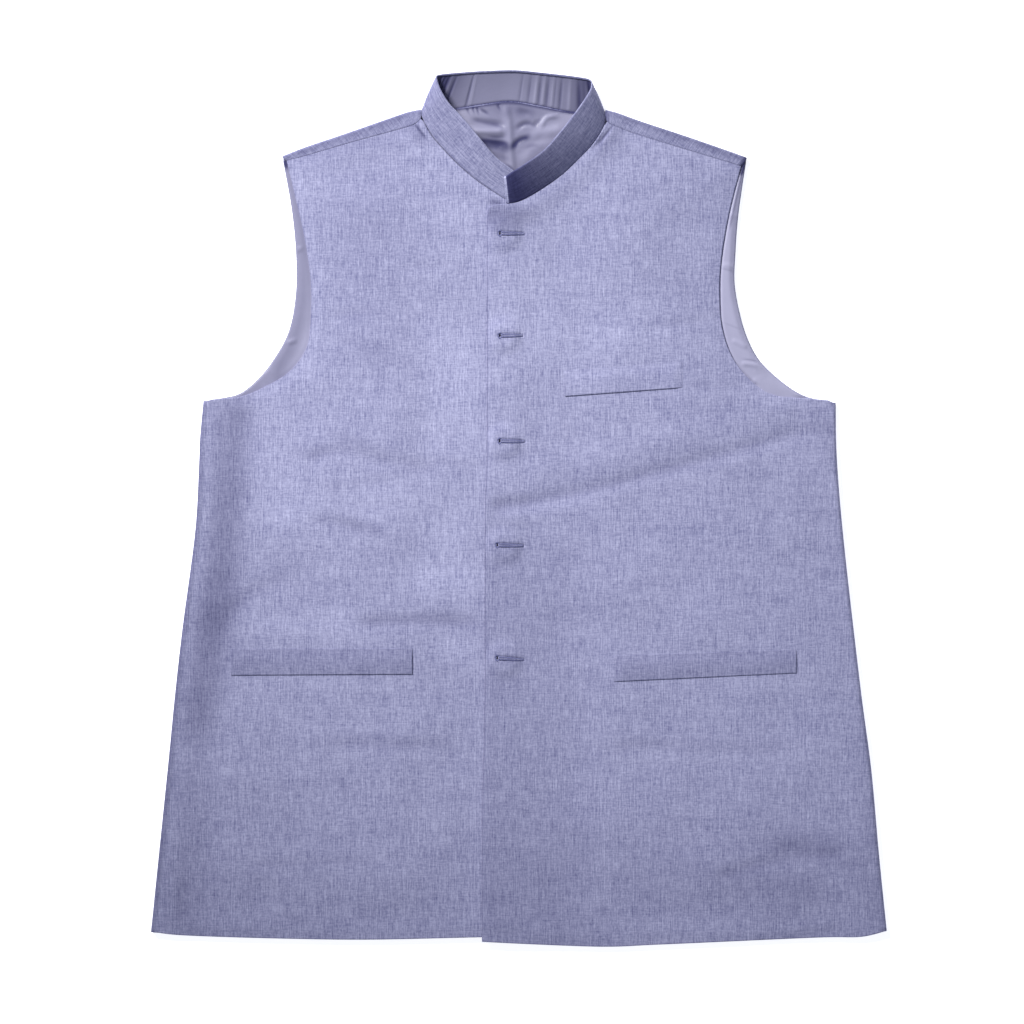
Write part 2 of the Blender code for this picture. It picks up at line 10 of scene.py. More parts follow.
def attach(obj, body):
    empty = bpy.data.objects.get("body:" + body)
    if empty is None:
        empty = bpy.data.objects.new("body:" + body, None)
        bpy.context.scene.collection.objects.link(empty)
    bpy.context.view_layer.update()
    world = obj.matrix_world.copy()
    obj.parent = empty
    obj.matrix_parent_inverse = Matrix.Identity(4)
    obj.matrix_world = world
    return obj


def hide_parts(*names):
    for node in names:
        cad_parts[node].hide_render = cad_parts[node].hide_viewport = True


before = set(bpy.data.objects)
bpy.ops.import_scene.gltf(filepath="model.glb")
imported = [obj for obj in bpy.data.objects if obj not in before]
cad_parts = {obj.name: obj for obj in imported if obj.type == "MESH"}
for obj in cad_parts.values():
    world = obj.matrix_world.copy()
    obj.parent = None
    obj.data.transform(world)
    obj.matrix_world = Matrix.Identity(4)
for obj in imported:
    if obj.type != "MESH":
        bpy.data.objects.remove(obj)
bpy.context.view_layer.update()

# Back panel: one piece of slubbed cotton chambray, flat on the table. It is turned up round both sides to the
# side seams, and it comes forward over both shoulders to the shoulder seams, where the fronts are sewn to it.
MM = 0.001
CLOTH = 1.5 * MM
FRONT_LOW = 3.2 * MM
HEM_ROUND = 0.4 * MM
EDGE_SPACING = 4 * MM
SHOULDER_SPACING = 1.4 * EDGE_SPACING
NECK_SEAM_SPACING = 0.75 * EDGE_SPACING
BACK_SPACING = 13 * MM

# How finely curves run through their tables, the rows of points along each edge, the room between points as
# shares of a row's depth or of the spacing, and what the triangulation is told
EDGE_PER_ROW = 16
CREASE_PER_ROW = 6
NEAR_EDGE = (0.8 * MM, 2.4 * MM)
NEAR_EDGE_ROOM = 0.85
NEAR_EDGE_CLOSE = 0.6
FINE_ROOM = 0.6
MIDDLE_ROOM = 0.4
INSIDE_ONLY = 1
WELD = 1e-8

# Edges of the laid jacket. Columns: x, y in millimetres from the middle of the whole outline.
RIGHT_SIDE = [(-326.5, -375.2), (-311.6, -230.8), (-304.9, -163.0), (-298.1, -103.2), (-287.2, -20.0),
              (-283.8, 40.0), (-283.0, 62.0), (-280.0, 95.2)]
LEFT_SIDE = [(326.3, -374.3), (319.3, -306.4), (312.5, -231.8), (303.2, -160.9), (288.9, -36.8),
             (282.2, 40.0), (281.0, 93.6)]
RIGHT_BACK_ARMHOLE = [(-276.5, 96.4), (-262.0, 98.2), (-247.2, 102.2), (-232.2, 114.2), (-218.5, 131.0),
                      (-204.7, 155.9), (-198.4, 186.5), (-197.6, 221.0), (-201.5, 264.4), (-210.0, 311.5)]
LEFT_BACK_ARMHOLE = [(278.1, 95.8), (257.0, 98.7), (237.4, 109.4), (215.2, 129.4), (203.9, 148.4),
                     (196.9, 169.6), (191.5, 198.6), (192.2, 227.4), (194.9, 261.8), (202.0, 310.2)]
BACK_HEM = [(-323.4, -373.5), (-213.8, -378.0), (-60.0, -379.0), (121.7, -383.0), (270.9, -377.0),
            (323.4, -372.6)]

# The neck seam, from the end on the wearer's right front, round the back, to the end on the left front
NECK_SEAM = [(-9.0, 272.5), (-20.0, 279.1), (-36.0, 289.8), (-51.0, 302.2), (-64.5, 315.8), (-76.0, 329.0),
             (-83.3, 341.0), (-86.2, 347.5), (-86.7, 351.6), (-86.0, 353.8), (-83.3, 354.4), (-77.0, 354.6),
             (-58.7, 355.1), (-36.0, 358.6), (-8.0, 361.9), (18.0, 358.0), (42.0, 353.1), (60.0, 351.6),
             (70.0, 352.6), (75.0, 353.4), (76.3, 350.5), (76.5, 345.0), (74.1, 336.5), (66.5, 324.5),
             (55.0, 311.8), (39.0, 296.4), (20.0, 282.6), (1.7, 272.4), (-10.9, 269.7)]
NECK_STATIONS = 8
RIGHT_NECK = slice(0, 6 * NECK_STATIONS + 3)
BACK_NECK = slice(10 * NECK_STATIONS, 18 * NECK_STATIONS + 1)
LEFT_NECK = slice(22 * NECK_STATIONS - 2, None)

# Sections across the shoulders. Columns: the fold's x, y and the shoulder seam's x, y, in millimetres.
RIGHT_SHOULDER = [(-209.7, 312.7, -205.9, 308.3), (-190.0, 320.5, -186.5, 313.4),
                  (-154.2, 332.6, -151.0, 323.8), (-105.5, 349.5, -102.0, 337.2),
                  (-93.5, 352.8, -92.5, 340.6), (-87.0, 353.8, -87.2, 345.0)]
LEFT_SHOULDER = [(202.0, 311.4, 196.9, 303.4), (186.9, 316.9, 184.0, 307.5), (151.5, 329.2, 148.0, 318.3),
                 (107.2, 343.9, 104.0, 332.0), (88.0, 350.8, 86.0, 338.6), (76.9, 353.4, 78.0, 342.4)]

# The rolls at the sides and what raises the cloth at the neck
ROLL_RADIUS = 2.9 * MM
ROLL_FULLNESS = 0.7 * MM
ROLL_END = 80 * MM
NECK_RISE = 1.9 * MM
NECK_RISE_REACH = 26 * MM
SIDE_SEAM_ROOM = 0.95 * MM
SIDE_SHARES = (0.2, 0.4, 0.6, 0.8, 1.0)
SHOULDER_ANGLES = np.radians([-65, -40, -15, 10, 35, 60, 90])
SEAM_SHARES = (0.35, 0.65, 0.88, 1.0)

# Creases that lying leaves in the back, pressed up from the table. Columns: half width and height in
# millimetres, then points.
BACK_CREASES = [
    (9, 0.5, (-210, 120), (-80, 92), (60, 104), (190, 130)),
    (7, 0.4, (-150, -40), (-40, -62), (90, -48)),
    (8, 0.5, (-285, -120), (-200, -150), (-120, -158)),
    (10, 0.5, (120, -210), (210, -190), (300, -205)),
    (6, 0.35, (-30, 230), (-8, 150), (4, 40)),
    (8, 0.4, (-200, -300), (-60, -318), (70, -306)),
]

# Painted shade: on the strips that come over the shoulders, where they face the light, a painted shadow in
# the mouth at the left shoulder's tip, and a painted shadow along the neck seam. Columns: half width in mm,
# share, then points in the weave.
BACK_PAINTED_SHADE = [
    (20, 0.24, (-254, 311), (-214, 327), (-92, 367), (-54, 379)),
    (20, 0.14, (246, 311), (206, 325), (82, 366), (44, 378)),
    (3.0, 1.4, (210, 330), (203.5, 315), (199.5, 305.5), (195, 294)),
    (3.4, 0.75, (-96, 350), (-59, 354), (-40, 357)),
    (3.2, 0.65, (-36, 357.6), (-8, 361), (12, 358)),
    (3.4, 0.8, (18, 357), (42, 352), (86, 348)),
]
CREASE_FADE = 14 * MM
BACK_CREASE_FADE = 30 * MM
MARK_FADE = 40 * MM
LONGEST_FADE = 0.45
# Painted shade: a share on all the chambray, more in crease troughs and on rolls and folds facing the light
BASE_PAINTED_SHADE = 0.2
CREASE_PAINTED_SHADE = 0.14
ROLL_PAINTED_SHADE = 0.6
ROLL_PAINTED_SHADE_REACH = 8 * MM
FOLD_PAINTED_SHADE = 0.32
FOLD_PAINTED_SHADE_REACH = 6 * MM
FOLD_PAINTED_SHADE_RADIUS = 1.4 * FRONT_LOW
FOLD_END_LENGTH = 20 * MM

# Painted shade on the back's rim: how dark it is, how much darker at the neck, and where the rim faces the
# light
RIM_PAINTED_SHADE = 0.25
NECK_RIM_PAINTED_SHADE = 0.7
LIT_RIM_PAINTED_SHADE = 0.85
RIM_REACH = 2 * MM


def smooth(value):
    """A soft step from 0 to 1."""
    value = np.clip(value, 0.0, 1.0)
    return value * value * (3 - 2 * value)


def curve(rows, per_row):
    """Rows of a smooth curve through the given rows of numbers."""
    rows = np.array(rows, float)
    padded = np.vstack([rows[:1], rows, rows[-1:]])
    t = np.arange(per_row)[:, None] / per_row
    found = [0.5 * (2 * start + (end - before) * t + (2 * before - 5 * start + 4 * end - after) * t ** 2
                    + (3 * start - before - 3 * end + after) * t ** 3)
             for before, start, end, after in zip(padded, padded[1:], padded[2:], padded[3:])]
    return np.vstack(found + [rows[-1:]])


def run_along(points):
    """How far along a line of points each of them is."""
    return np.concatenate([[0.0], np.cumsum(np.linalg.norm(np.diff(points, axis=0), axis=1))])


def evenly(points, step):
    """Points at even distances along a line of points, both ends kept."""
    lengths = run_along(points)
    at = np.linspace(0.0, lengths[-1], max(1, round(lengths[-1] / step)) + 1)
    return np.stack([np.interp(at, lengths, column) for column in points.T], axis=1)


def edge(table, step=EDGE_SPACING):
    """An edge of the outline in metres, smooth through its table's rows."""
    return evenly(curve(table, EDGE_PER_ROW) * MM, step)


def distance(points, line):
    """The plan distance from each point to a line of points."""
    start, along = line[:-1], np.diff(line, axis=0)
    nearest = np.full(len(points), np.inf)
    for a, d in zip(start, along):
        share = np.clip(((points - a) @ d) / max(d @ d, 1e-18), 0.0, 1.0)
        nearest = np.minimum(nearest, np.linalg.norm(points - a - share[:, None] * d, axis=1))
    return nearest


def inside(points, ring):
    """True for each plan point that is inside the closed ring."""
    found = np.zeros(len(points), bool)
    for a, b in zip(ring, np.roll(ring, -1, axis=0)):
        crosses = (a[1] > points[:, 1]) != (b[1] > points[:, 1])
        rise = b[1] - a[1] if a[1] != b[1] else 1.0
        found ^= crosses & (points[:, 0] < a[0] + (b[0] - a[0]) * (points[:, 1] - a[1]) / rise)
    return found


def outward(line, turn):
    """Unit plan normals of a line, on its right hand where turn is 1, else on its left."""
    along = np.vstack([line[1:2] - line[:1], line[2:] - line[:-2], line[-1:] - line[-2:-1]])
    normals = np.column_stack([along[:, 1], -along[:, 0]]) * turn
    return normals / np.linalg.norm(normals, axis=1)[:, None]


def creases(points, table, end_fade=CREASE_FADE):
    """The summed height of creases at plan points. Each fades at its two ends."""
    total = np.zeros(len(points))
    for half_width, height, *path in table:
        line = curve(path, CREASE_PER_ROW) * MM
        lengths = run_along(line)
        best = np.full(len(points), np.inf)
        run = np.zeros(len(points))
        for a, d, length in zip(line[:-1], np.diff(line, axis=0), lengths):
            share = np.clip(((points - a) @ d) / (d @ d), 0.0, 1.0)
            off = np.linalg.norm(points - a - share[:, None] * d, axis=1)
            run = np.where(off < best, length + share * np.linalg.norm(d), run)
            best = np.minimum(best, off)
        fade = smooth(np.minimum(run, lengths[-1] - run) / min(end_fade, LONGEST_FADE * lengths[-1]))
        total += height * MM * smooth(1 - best / (half_width * MM)) * fade
    return total


def painted_shade(points, marks, troughs):
    """How dark painted shade, in soft marks and in the troughs of creases, makes the cloth at plan points,
    from 0 to 1.
    """
    pressed = np.maximum(-creases(points, troughs), 0.0) * CREASE_PAINTED_SHADE
    return np.clip(BASE_PAINTED_SHADE + (creases(points, marks, MARK_FADE) + pressed) / MM, 0.0, 1.0)


def painted_fold_shade(points, line, normals, radius, share, reach):
    """How much darker painted shade makes the cloth where it turns round a fold that faces the light."""
    return share * smooth(1 - distance(points, line + normals * (radius * math.pi / 2)) / reach)


def free(line):
    """A part of a ring where the cloth ends, moved in by its rounding when the ring is made."""
    return line, True


def joined(line):
    """A part of a ring where the cloth goes on in rows of its own."""
    return line, False


def ring_of(*parts):
    """A closed ring, counter-clockwise, from the lines of its parts."""
    ring = np.vstack([line for line, _ in parts])
    ends = np.concatenate([np.full(len(line), is_free) for line, is_free in parts])
    along = np.roll(ring, -1, axis=0) - np.roll(ring, 1, axis=0)
    inward = np.column_stack([-along[:, 1], along[:, 0]]) / np.linalg.norm(along, axis=1)[:, None]
    return ring + inward * (ends * HEM_ROUND)[:, None]


def twice_area(plan, faces):
    """Twice the plan area of each triangle, above 0 where it runs counter-clockwise."""
    a, b, c = (plan[faces[:, k]] for k in range(3))
    return (b[:, 0] - a[:, 0]) * (c[:, 1] - a[:, 1]) - (c[:, 0] - a[:, 0]) * (b[:, 1] - a[:, 1])


def fill(ring, step, holes=(), fine=(), fine_step=0.0):
    """Plan points and triangles that fill a closed ring, less its holes, denser in the fine boxes."""
    borders = [np.vstack([ring, ring[:1]])] + [np.vstack([hole, hole[:1]]) for hole in holes]

    def keep(found, room):
        """The points that are on the cloth and have room to its borders."""
        found = found[inside(found, ring)]
        for hole in holes:
            found = found[~inside(found, hole)]
        for border in borders:
            found = found[distance(found, border) > room]
        return found

    points = [ring, *holes]
    for border, turn in zip(borders, [1] + [-1] * len(holes)):
        for depth in NEAR_EDGE:
            row = keep(border[:-1] - outward(border, turn)[:-1] * depth, NEAR_EDGE_ROOM * depth)
            close = np.linalg.norm(row[:, None] - row, axis=2) < NEAR_EDGE_CLOSE * depth
            points.append(row[~np.triu(close, 1).any(0)])
    boxes = [np.array(box) for box in fine]
    areas = [(step, ring.min(0), ring.max(0), boxes)]
    areas += [(fine_step, box[:2], box[2:], []) for box in boxes]
    for spacing, low, high, others in areas:
        columns, rows = np.meshgrid(np.arange(low[0], high[0], spacing),
                                    np.arange(low[1], high[1], spacing * math.sqrt(0.75)))
        columns = columns + (np.arange(len(rows)) % 2)[:, None] * spacing / 2
        lattice = np.column_stack([columns.ravel(), rows.ravel()])
        for box in others:
            lattice = lattice[((lattice < box[:2] - fine_step) | (lattice > box[2:] + fine_step)).any(1)]
        room = FINE_ROOM if spacing < step else NEAR_EDGE[-1] / spacing + MIDDLE_ROOM
        points.append(keep(lattice, room * spacing))
    plan = np.vstack(points)
    edges = []
    first = 0
    for loop in [ring, *holes]:
        ids = list(range(first, first + len(loop)))
        edges += list(zip(ids, ids[1:] + ids[:1]))
        first += len(loop)
    found = delaunay_2d_cdt([Vector(p) for p in plan], edges, [list(range(len(ring)))], INSIDE_ONLY, WELD)
    plan = np.array([tuple(p) for p in found[0]])
    faces = np.array([tuple(face) for face in found[2]])
    faces = np.where(twice_area(plan, faces)[:, None] < 0, faces[:, ::-1], faces)
    for hole in holes:
        faces = faces[~inside(plan[faces].mean(1), hole)]
    return plan, faces


def at_heights(plan, heights):
    """Plan points with their heights."""
    return np.column_stack([plan, np.broadcast_to(heights, len(plan))])


class Cloth:
    """A piece of cloth: its triangles, the points of its two layers and each point's place in the weave.

    The triangles run counter-clockwise as seen from the side of the first layer.
    """

    def __init__(self, faces, first, second, weave):
        self.faces = faces
        self.first = first
        self.second = second
        self.weave = weave

    def ids_of(self, points):
        """The cloth's points at the given plan points."""
        return np.array([np.argmin(((self.weave - p) ** 2).sum(1)) for p in points])

    def add_rows(self, points, rows):
        """Adds rows of points, each (first layer, second layer, weave), beyond an edge of the cloth."""
        before = self.ids_of(points)
        for first, second, weave in rows:
            ids = np.arange(len(self.first), len(self.first) + len(first))
            self.first = np.vstack([self.first, first])
            self.second = np.vstack([self.second, second])
            self.weave = np.vstack([self.weave, weave])
            quads = np.column_stack([before[:-1], ids[:-1], ids[1:], before[1:]])
            if twice_area(self.weave, quads).sum() < 0:
                quads = quads[:, ::-1]
            self.faces = np.vstack([self.faces, quads[:, [0, 1, 2]], quads[:, [0, 2, 3]]])
            before = ids


EDGE_ANGLES = np.radians([40, 90, 140])
# How dark the painted shade along the cloth's edges is, unless a shell is given its own
EDGE_SHADE = 0.45


def set_weave(mesh, places):
    """Gives a mesh the map of the weave from each point's place in it."""
    loop_points = np.empty(len(mesh.loops), int)
    mesh.loops.foreach_get("vertex_index", loop_points)
    layer = mesh.uv_layers.get("cloth") or mesh.uv_layers.new(name="cloth")
    layer.data.foreach_set("uv", places[loop_points].ravel())


def placed(name, data):
    """A new object of the scene."""
    thing = bpy.data.objects.new(name, data)
    bpy.context.scene.collection.objects.link(thing)
    return thing


def shell(name, cloth, look, shade=0.0, edge_shade=EDGE_SHADE):
    """The mesh object of a piece of cloth, closed by a half-round edge wherever the cloth ends.

    shade and edge_shade say from 0 to 1 how dark the painted shade on the cloth and along its edges is, in
    one value or in one for each point.
    """
    faces, first, second = cloth.faces, cloth.first, cloth.second
    count = len(first)
    corner = [first[faces[:, k]] for k in range(3)]
    face_normals = np.cross(corner[1] - corner[0], corner[2] - corner[0])
    normals = np.zeros_like(first)
    for k in range(3):
        np.add.at(normals, faces[:, k], face_normals)
    directed = np.vstack([faces[:, [0, 1]], faces[:, [1, 2]], faces[:, [2, 0]]])
    there, back_again = (directed[:, k] * count + directed[:, 1 - k] for k in (0, 1))
    border = directed[~np.isin(there, back_again)]
    run = first[border[:, 1]] - first[border[:, 0]]
    run /= np.linalg.norm(run, axis=1)[:, None]
    along = np.zeros_like(first)
    for k in range(2):
        np.add.at(along, border[:, k], run)
    rim = np.unique(border)
    place = np.full(count, -1)
    place[rim] = np.arange(len(rim))
    out = np.cross(along[rim], normals[rim])
    out /= np.maximum(np.linalg.norm(out, axis=1), 1e-12)[:, None]
    middle, half = (first[rim] + second[rim]) / 2, (first[rim] - second[rim]) / 2
    points = [first, second]
    points += [middle + half * math.cos(a) + out * HEM_ROUND * math.sin(a) for a in EDGE_ANGLES]
    weave = [cloth.weave, cloth.weave] + [cloth.weave[rim]] * len(EDGE_ANGLES)
    shades = np.array(np.broadcast_to(shade, count), float)
    shades[rim] = np.maximum(shades, edge_shade)[rim]
    round_edge = [2 * count + k * len(rim) + place[border] for k in range(len(EDGE_ANGLES))]
    steps = [border] + round_edge + [border + count]
    quads = np.vstack([np.column_stack([upper[:, 1], upper[:, 0], lower[:, 0], lower[:, 1]])
                       for upper, lower in zip(steps, steps[1:])])
    mesh = bpy.data.meshes.new(name)
    all_faces = faces.tolist() + (faces[:, ::-1] + count).tolist() + quads.tolist()
    mesh.from_pydata(np.vstack(points).tolist(), [], all_faces)
    set_weave(mesh, np.vstack(weave))
    mesh.attributes.new("shade", "FLOAT", "POINT").data.foreach_set(
        "value", np.concatenate([shades, shades] + [shades[rim]] * len(EDGE_ANGLES)))
    mesh.shade_smooth()
    mesh.materials.append(look)
    used = np.unique(faces)
    if len(used) < count:
        raise ValueError(f"{name}: {count - len(used)} points are on no triangle")
    return placed(name, mesh)


def cut_area(cloth):
    """The area of a piece of cloth as it was cut, in square metres."""
    return float(abs(twice_area(cloth.weave, cloth.faces)).sum() / 2)


def side_rows(line, normals, radii, upward):
    """Rows that carry a front (upward 1) or the back (upward -1) round the side to the side seam."""
    rows = []
    base = line - normals * radii[:, None]
    last = np.arccos(SIDE_SEAM_ROOM / radii)
    for share in SIDE_SHARES:
        outer, inner = (at_heights(base + normals * (reach * np.sin(last * share))[:, None],
                                   radii + upward * reach * np.cos(last * share))
                        for reach in (radii, radii - CLOTH))
        weave = base + normals * (radii * last * share)[:, None]
        rows.append((outer, inner, weave) if upward > 0 else (inner, outer, weave))
    return rows


def shoulder_rows(folds, seams, normals, radii):
    """Rows that carry the back round the shoulder's fold and forward to the seam, inner side first."""
    rows = []
    base = folds - normals * radii[:, None]
    for angle in SHOULDER_ANGLES:
        outer, inner = (at_heights(base + normals * (reach * np.cos(angle))[:, None],
                                   radii + reach * np.sin(angle)) for reach in (radii, radii - CLOTH))
        rows.append((inner, outer, base + normals * (radii * (angle + math.pi / 2))[:, None]))
    back_to_seam = seams + normals * HEM_ROUND - base
    for share in SEAM_SHARES:
        point = base + back_to_seam * share
        weave = base + normals * (radii * math.pi + share * np.linalg.norm(back_to_seam, axis=1))[:, None]
        rows.append((at_heights(point, 2 * radii - CLOTH), at_heights(point, 2 * radii), weave))
    return rows


def split(table):
    """The folds and the seams of shoulder sections, as lines of plan points in metres."""
    sections = evenly(curve(table, EDGE_PER_ROW) * MM, SHOULDER_SPACING)
    return sections[:, :2], sections[:, 2:]


neck_line = curve(NECK_SEAM, NECK_STATIONS) * MM
right_neck, left_neck, back_neck = (evenly(neck_line[part], NECK_SEAM_SPACING)
                                    for part in (RIGHT_NECK, LEFT_NECK, BACK_NECK))


def neck_distance(points):
    """How far plan points are from the fronts' parts of the neck seam."""
    return np.minimum(distance(points, right_neck), distance(points, left_neck))


def neck_rise(points):
    """How far the collar raises the cloth of the fronts at plan points."""
    return NECK_RISE * smooth(1 - neck_distance(points) / NECK_RISE_REACH)


def roll_radii(line):
    """The radius of the roll at each point of a side, fuller between its ends."""
    ends = np.minimum(line[:, 1] - line[0, 1], line[-1, 1] - line[:, 1])
    return ROLL_RADIUS + ROLL_FULLNESS * smooth(ends / ROLL_END)


right_side, left_side = edge(RIGHT_SIDE), edge(LEFT_SIDE)
right_normals, left_normals = outward(right_side, -1), outward(left_side, 1)
right_radii, left_radii = roll_radii(right_side), roll_radii(left_side)
right_base = right_side - right_normals * right_radii[:, None]
left_base = left_side - left_normals * left_radii[:, None]
right_folds, right_seams = split(RIGHT_SHOULDER)
left_folds, left_seams = split(LEFT_SHOULDER)
right_fold_normals, left_fold_normals = outward(right_folds, -1), outward(left_folds, 1)
right_fold_radii = (FRONT_LOW + CLOTH + neck_rise(right_seams)) / 2
left_fold_radii = (FRONT_LOW + CLOTH + neck_rise(left_seams)) / 2
right_fold_base = right_folds - right_fold_normals * right_fold_radii[:, None]
left_fold_base = left_folds - left_fold_normals * left_fold_radii[:, None]
left_armhole, right_armhole = edge(LEFT_BACK_ARMHOLE), edge(RIGHT_BACK_ARMHOLE)


class Shade:
    """An output of a node. Arithmetic on it adds Math nodes."""

    def __init__(self, tree, socket=None):
        self.tree = tree
        self.socket = socket

    def node(self, kind, settings, inputs, output=0):
        """A new node in the same tree: its settings come first, then its sockets' values or links."""
        made = self.tree.nodes.new(kind)
        for name, value in settings.items():
            setattr(made, name, value)
        for name, value in inputs.items():
            if isinstance(value, Shade):
                self.tree.links.new(value.socket, made.inputs[name])
            else:
                made.inputs[name].default_value = value
        return Shade(self.tree, made.outputs[output])

    def math(self, operation, a, b=0.0):
        return self.node("ShaderNodeMath", {"operation": operation}, {0: a, 1: b})

    def __add__(self, other):
        return self.math("ADD", self, other)

    def __sub__(self, other):
        return self.math("SUBTRACT", self, other)

    def __mul__(self, other):
        return self.math("MULTIPLY", self, other)

    def sine(self):
        return self.math("SINE", self)

    def stretched(self, across, up):
        """This vector with its first two parts multiplied."""
        return self.node("ShaderNodeVectorMath", {"operation": "MULTIPLY"}, {0: self, 1: (across, up, 1.0)})

    def noise(self, across, up, detail=2.0, rough=0.5):
        """A noise from -1 to 1 with so many lumps a metre across and up."""
        lumps = self.node("ShaderNodeTexNoise", {"noise_dimensions": "2D"}, {
            "Vector": self.stretched(across, up), "Scale": 1.0, "Detail": detail, "Roughness": rough})
        return (lumps - 0.5) * 2.0

    def tinted(self, colour):
        """This colour multiplied by another."""
        return self.node("ShaderNodeVectorMath", {"operation": "MULTIPLY"}, {0: self, 1: colour})

    def between(self, low_colour, high_colour):
        """A colour between two, mixed by this value."""
        return self.node("ShaderNodeMix", {"data_type": "RGBA"}, {0: self, 6: low_colour, 7: high_colour}, 2)


def linear(red, green, blue):
    """A colour of the Principled shader from its 0 to 255 parts as seen on a screen."""
    return tuple(((v / 255 + 0.055) / 1.055) ** 2.4 for v in (red, green, blue)) + (1.0,)


# The colour by which painted shade multiplies the cloth's colour, from none to full, bluer as it darkens
UNDARKENED = (1, 1, 1, 1)
DARKEST_PAINTED_SHADE = (0.1, 0.1, 0.21, 1)


def finished(name, colour, roughness, bump, strength, settings):
    """A Principled material. colour, roughness and bump take the weave's place and give what varies.

    The colour is darkened by painted shade where the mesh's shade attribute is above 0.
    """
    look = bpy.data.materials.new(name)
    look.use_nodes = True
    tree = look.node_tree
    shader = tree.nodes["Principled BSDF"]
    weave = Shade(tree).node("ShaderNodeUVMap", {"uv_map": "cloth"}, {})
    shade = Shade(tree).node("ShaderNodeAttribute", {"attribute_name": "shade"}, {}, output=2)
    darkened = colour(weave).tinted(shade.between(UNDARKENED, DARKEST_PAINTED_SHADE))
    tree.links.new(darkened.socket, shader.inputs["Base Color"])
    tree.links.new(roughness(weave).socket, shader.inputs["Roughness"])
    raised = Shade(tree).node("ShaderNodeBump", {}, {
        "Height": bump(weave), "Distance": strength, "Strength": 1.0})
    tree.links.new(raised.socket, shader.inputs["Normal"])
    for socket, value in settings.items():
        shader.inputs[socket].default_value = value
    return look


# Chambray: dyed warp threads run up the jacket, paler weft threads run across, and both have slubs
THREADS = 1900
WARP_DARK = linear(98, 100, 145)
WEFT_PALE = linear(201, 201, 229)


def slubs(weave):
    """The light and dark of the slubbed threads, from about -1 to 1."""
    warp = weave.noise(1050, 80, 3.0, 0.62) * 0.8 + weave.noise(900, 22, 1.0) * 0.25
    weft = weave.noise(110, 900, 3.0, 0.6) * 0.5
    specks = weave.noise(650, 420, 2.0) * 0.45
    bands = weave.noise(420, 30) * 0.2 + weave.noise(28, 260) * 0.16 + weave.noise(10, 75) * 0.12
    blotches = weave.noise(45, 30, 3.0) * 0.12
    return warp + weft + specks + bands + blotches


def chambray_colour(weave):
    return (slubs(weave) * 0.62 + 0.57).between(WARP_DARK, WEFT_PALE)


def plain_weave(weave):
    """The height of a plain weave: warp and weft threads by turns on top."""
    across, up = (weave.node("ShaderNodeSeparateXYZ", {}, {0: weave}, output=k) for k in (0, 1))
    over, under = (along * (THREADS * math.pi) for along in (across, up))
    return over.sine() * under.sine() * 0.5 + slubs(weave) * 0.5


def chambray_roughness(weave):
    return weave.noise(300, 300) * 0.05 + 0.86


CHAMBRAY_BUMP = 0.08 * MM
CHAMBRAY_SHEEN = {"Sheen Weight": 0.12, "Sheen Roughness": 0.5, "Specular IOR Level": 0.25}
chambray = finished("blue_chambray", chambray_colour, chambray_roughness, plain_weave, CHAMBRAY_BUMP,
                    CHAMBRAY_SHEEN)

back_ring = ring_of(joined(right_base[:1]), free(edge(BACK_HEM)[1:-1]), joined(left_base),
                    free(left_armhole[1:-1]), joined(left_fold_base), free(back_neck[::-1]),
                    joined(right_fold_base[::-1]), free(right_armhole[-2:0:-1]), joined(right_base[:0:-1]))
plan, faces = fill(back_ring, BACK_SPACING)
lift = creases(plan, BACK_CREASES, BACK_CREASE_FADE)
back_cloth = Cloth(faces, at_heights(plan, CLOTH + 0.5 * lift), at_heights(plan, lift), plan)
back_cloth.add_rows(right_base, side_rows(right_side, right_normals, right_radii, -1))
back_cloth.add_rows(left_base, side_rows(left_side, left_normals, left_radii, -1))
back_cloth.add_rows(right_fold_base,
                    shoulder_rows(right_folds, right_seams, right_fold_normals, right_fold_radii))
back_cloth.add_rows(left_fold_base,
                    shoulder_rows(left_folds, left_seams, left_fold_normals, left_fold_radii))
# Painted shade on the back: marks, crease troughs, the shoulder folds facing the light, and the rim
back_painted_shade = painted_shade(back_cloth.weave, BACK_PAINTED_SHADE, BACK_CREASES)
for base, normals in ((right_fold_base, right_fold_normals), (left_fold_base, left_fold_normals)):
    back_painted_shade += painted_fold_shade(back_cloth.weave, base, normals, FOLD_PAINTED_SHADE_RADIUS, FOLD_PAINTED_SHADE, FOLD_PAINTED_SHADE_REACH)
rim_painted_shade = RIM_PAINTED_SHADE + NECK_RIM_PAINTED_SHADE * (distance(back_cloth.weave, back_neck) < RIM_REACH)
left_fold_end = left_fold_base[-1] + np.array([[0.0], [1.0]]) * left_fold_normals[-1] * FOLD_END_LENGTH
for rim in (right_armhole, left_fold_end):
    rim_painted_shade = np.maximum(rim_painted_shade, LIT_RIM_PAINTED_SHADE * (distance(back_cloth.weave, rim) < RIM_REACH))
back = shell("back_panel", back_cloth, chambray, np.minimum(back_painted_shade, 1.0), rim_painted_shade)
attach(back, "root")
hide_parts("back")
cut_area(back_cloth)

# Back lining: grey-lavender satin cut a little smaller than the back and felled to it all round. It shows in
# the neck, where it lies in soft folds, and as narrow strips in both armholes.
SATIN = 0.6 * MM
LINING_TOP = 2.8 * MM
LINING_INSET = 1.5 * MM
LINING_SPACING = 9 * MM
NECK_SPACING = 1.3 * MM
LINING_BOXES = [(-75 * MM, 275 * MM, 68 * MM, 358 * MM), (-214 * MM, 104 * MM, -182 * MM, 310 * MM),
                (176 * MM, 104 * MM, 210 * MM, 310 * MM)]
ARMHOLE_RISE = 0.9 * MM
ARMHOLE_RISE_REACH = 16 * MM
ARMHOLE_PRESSED_REACH = 6 * MM
ARMHOLE_INSET = 0.7 * MM
LINING_FADE = 9 * MM
ARMHOLE_FADE = 4 * MM

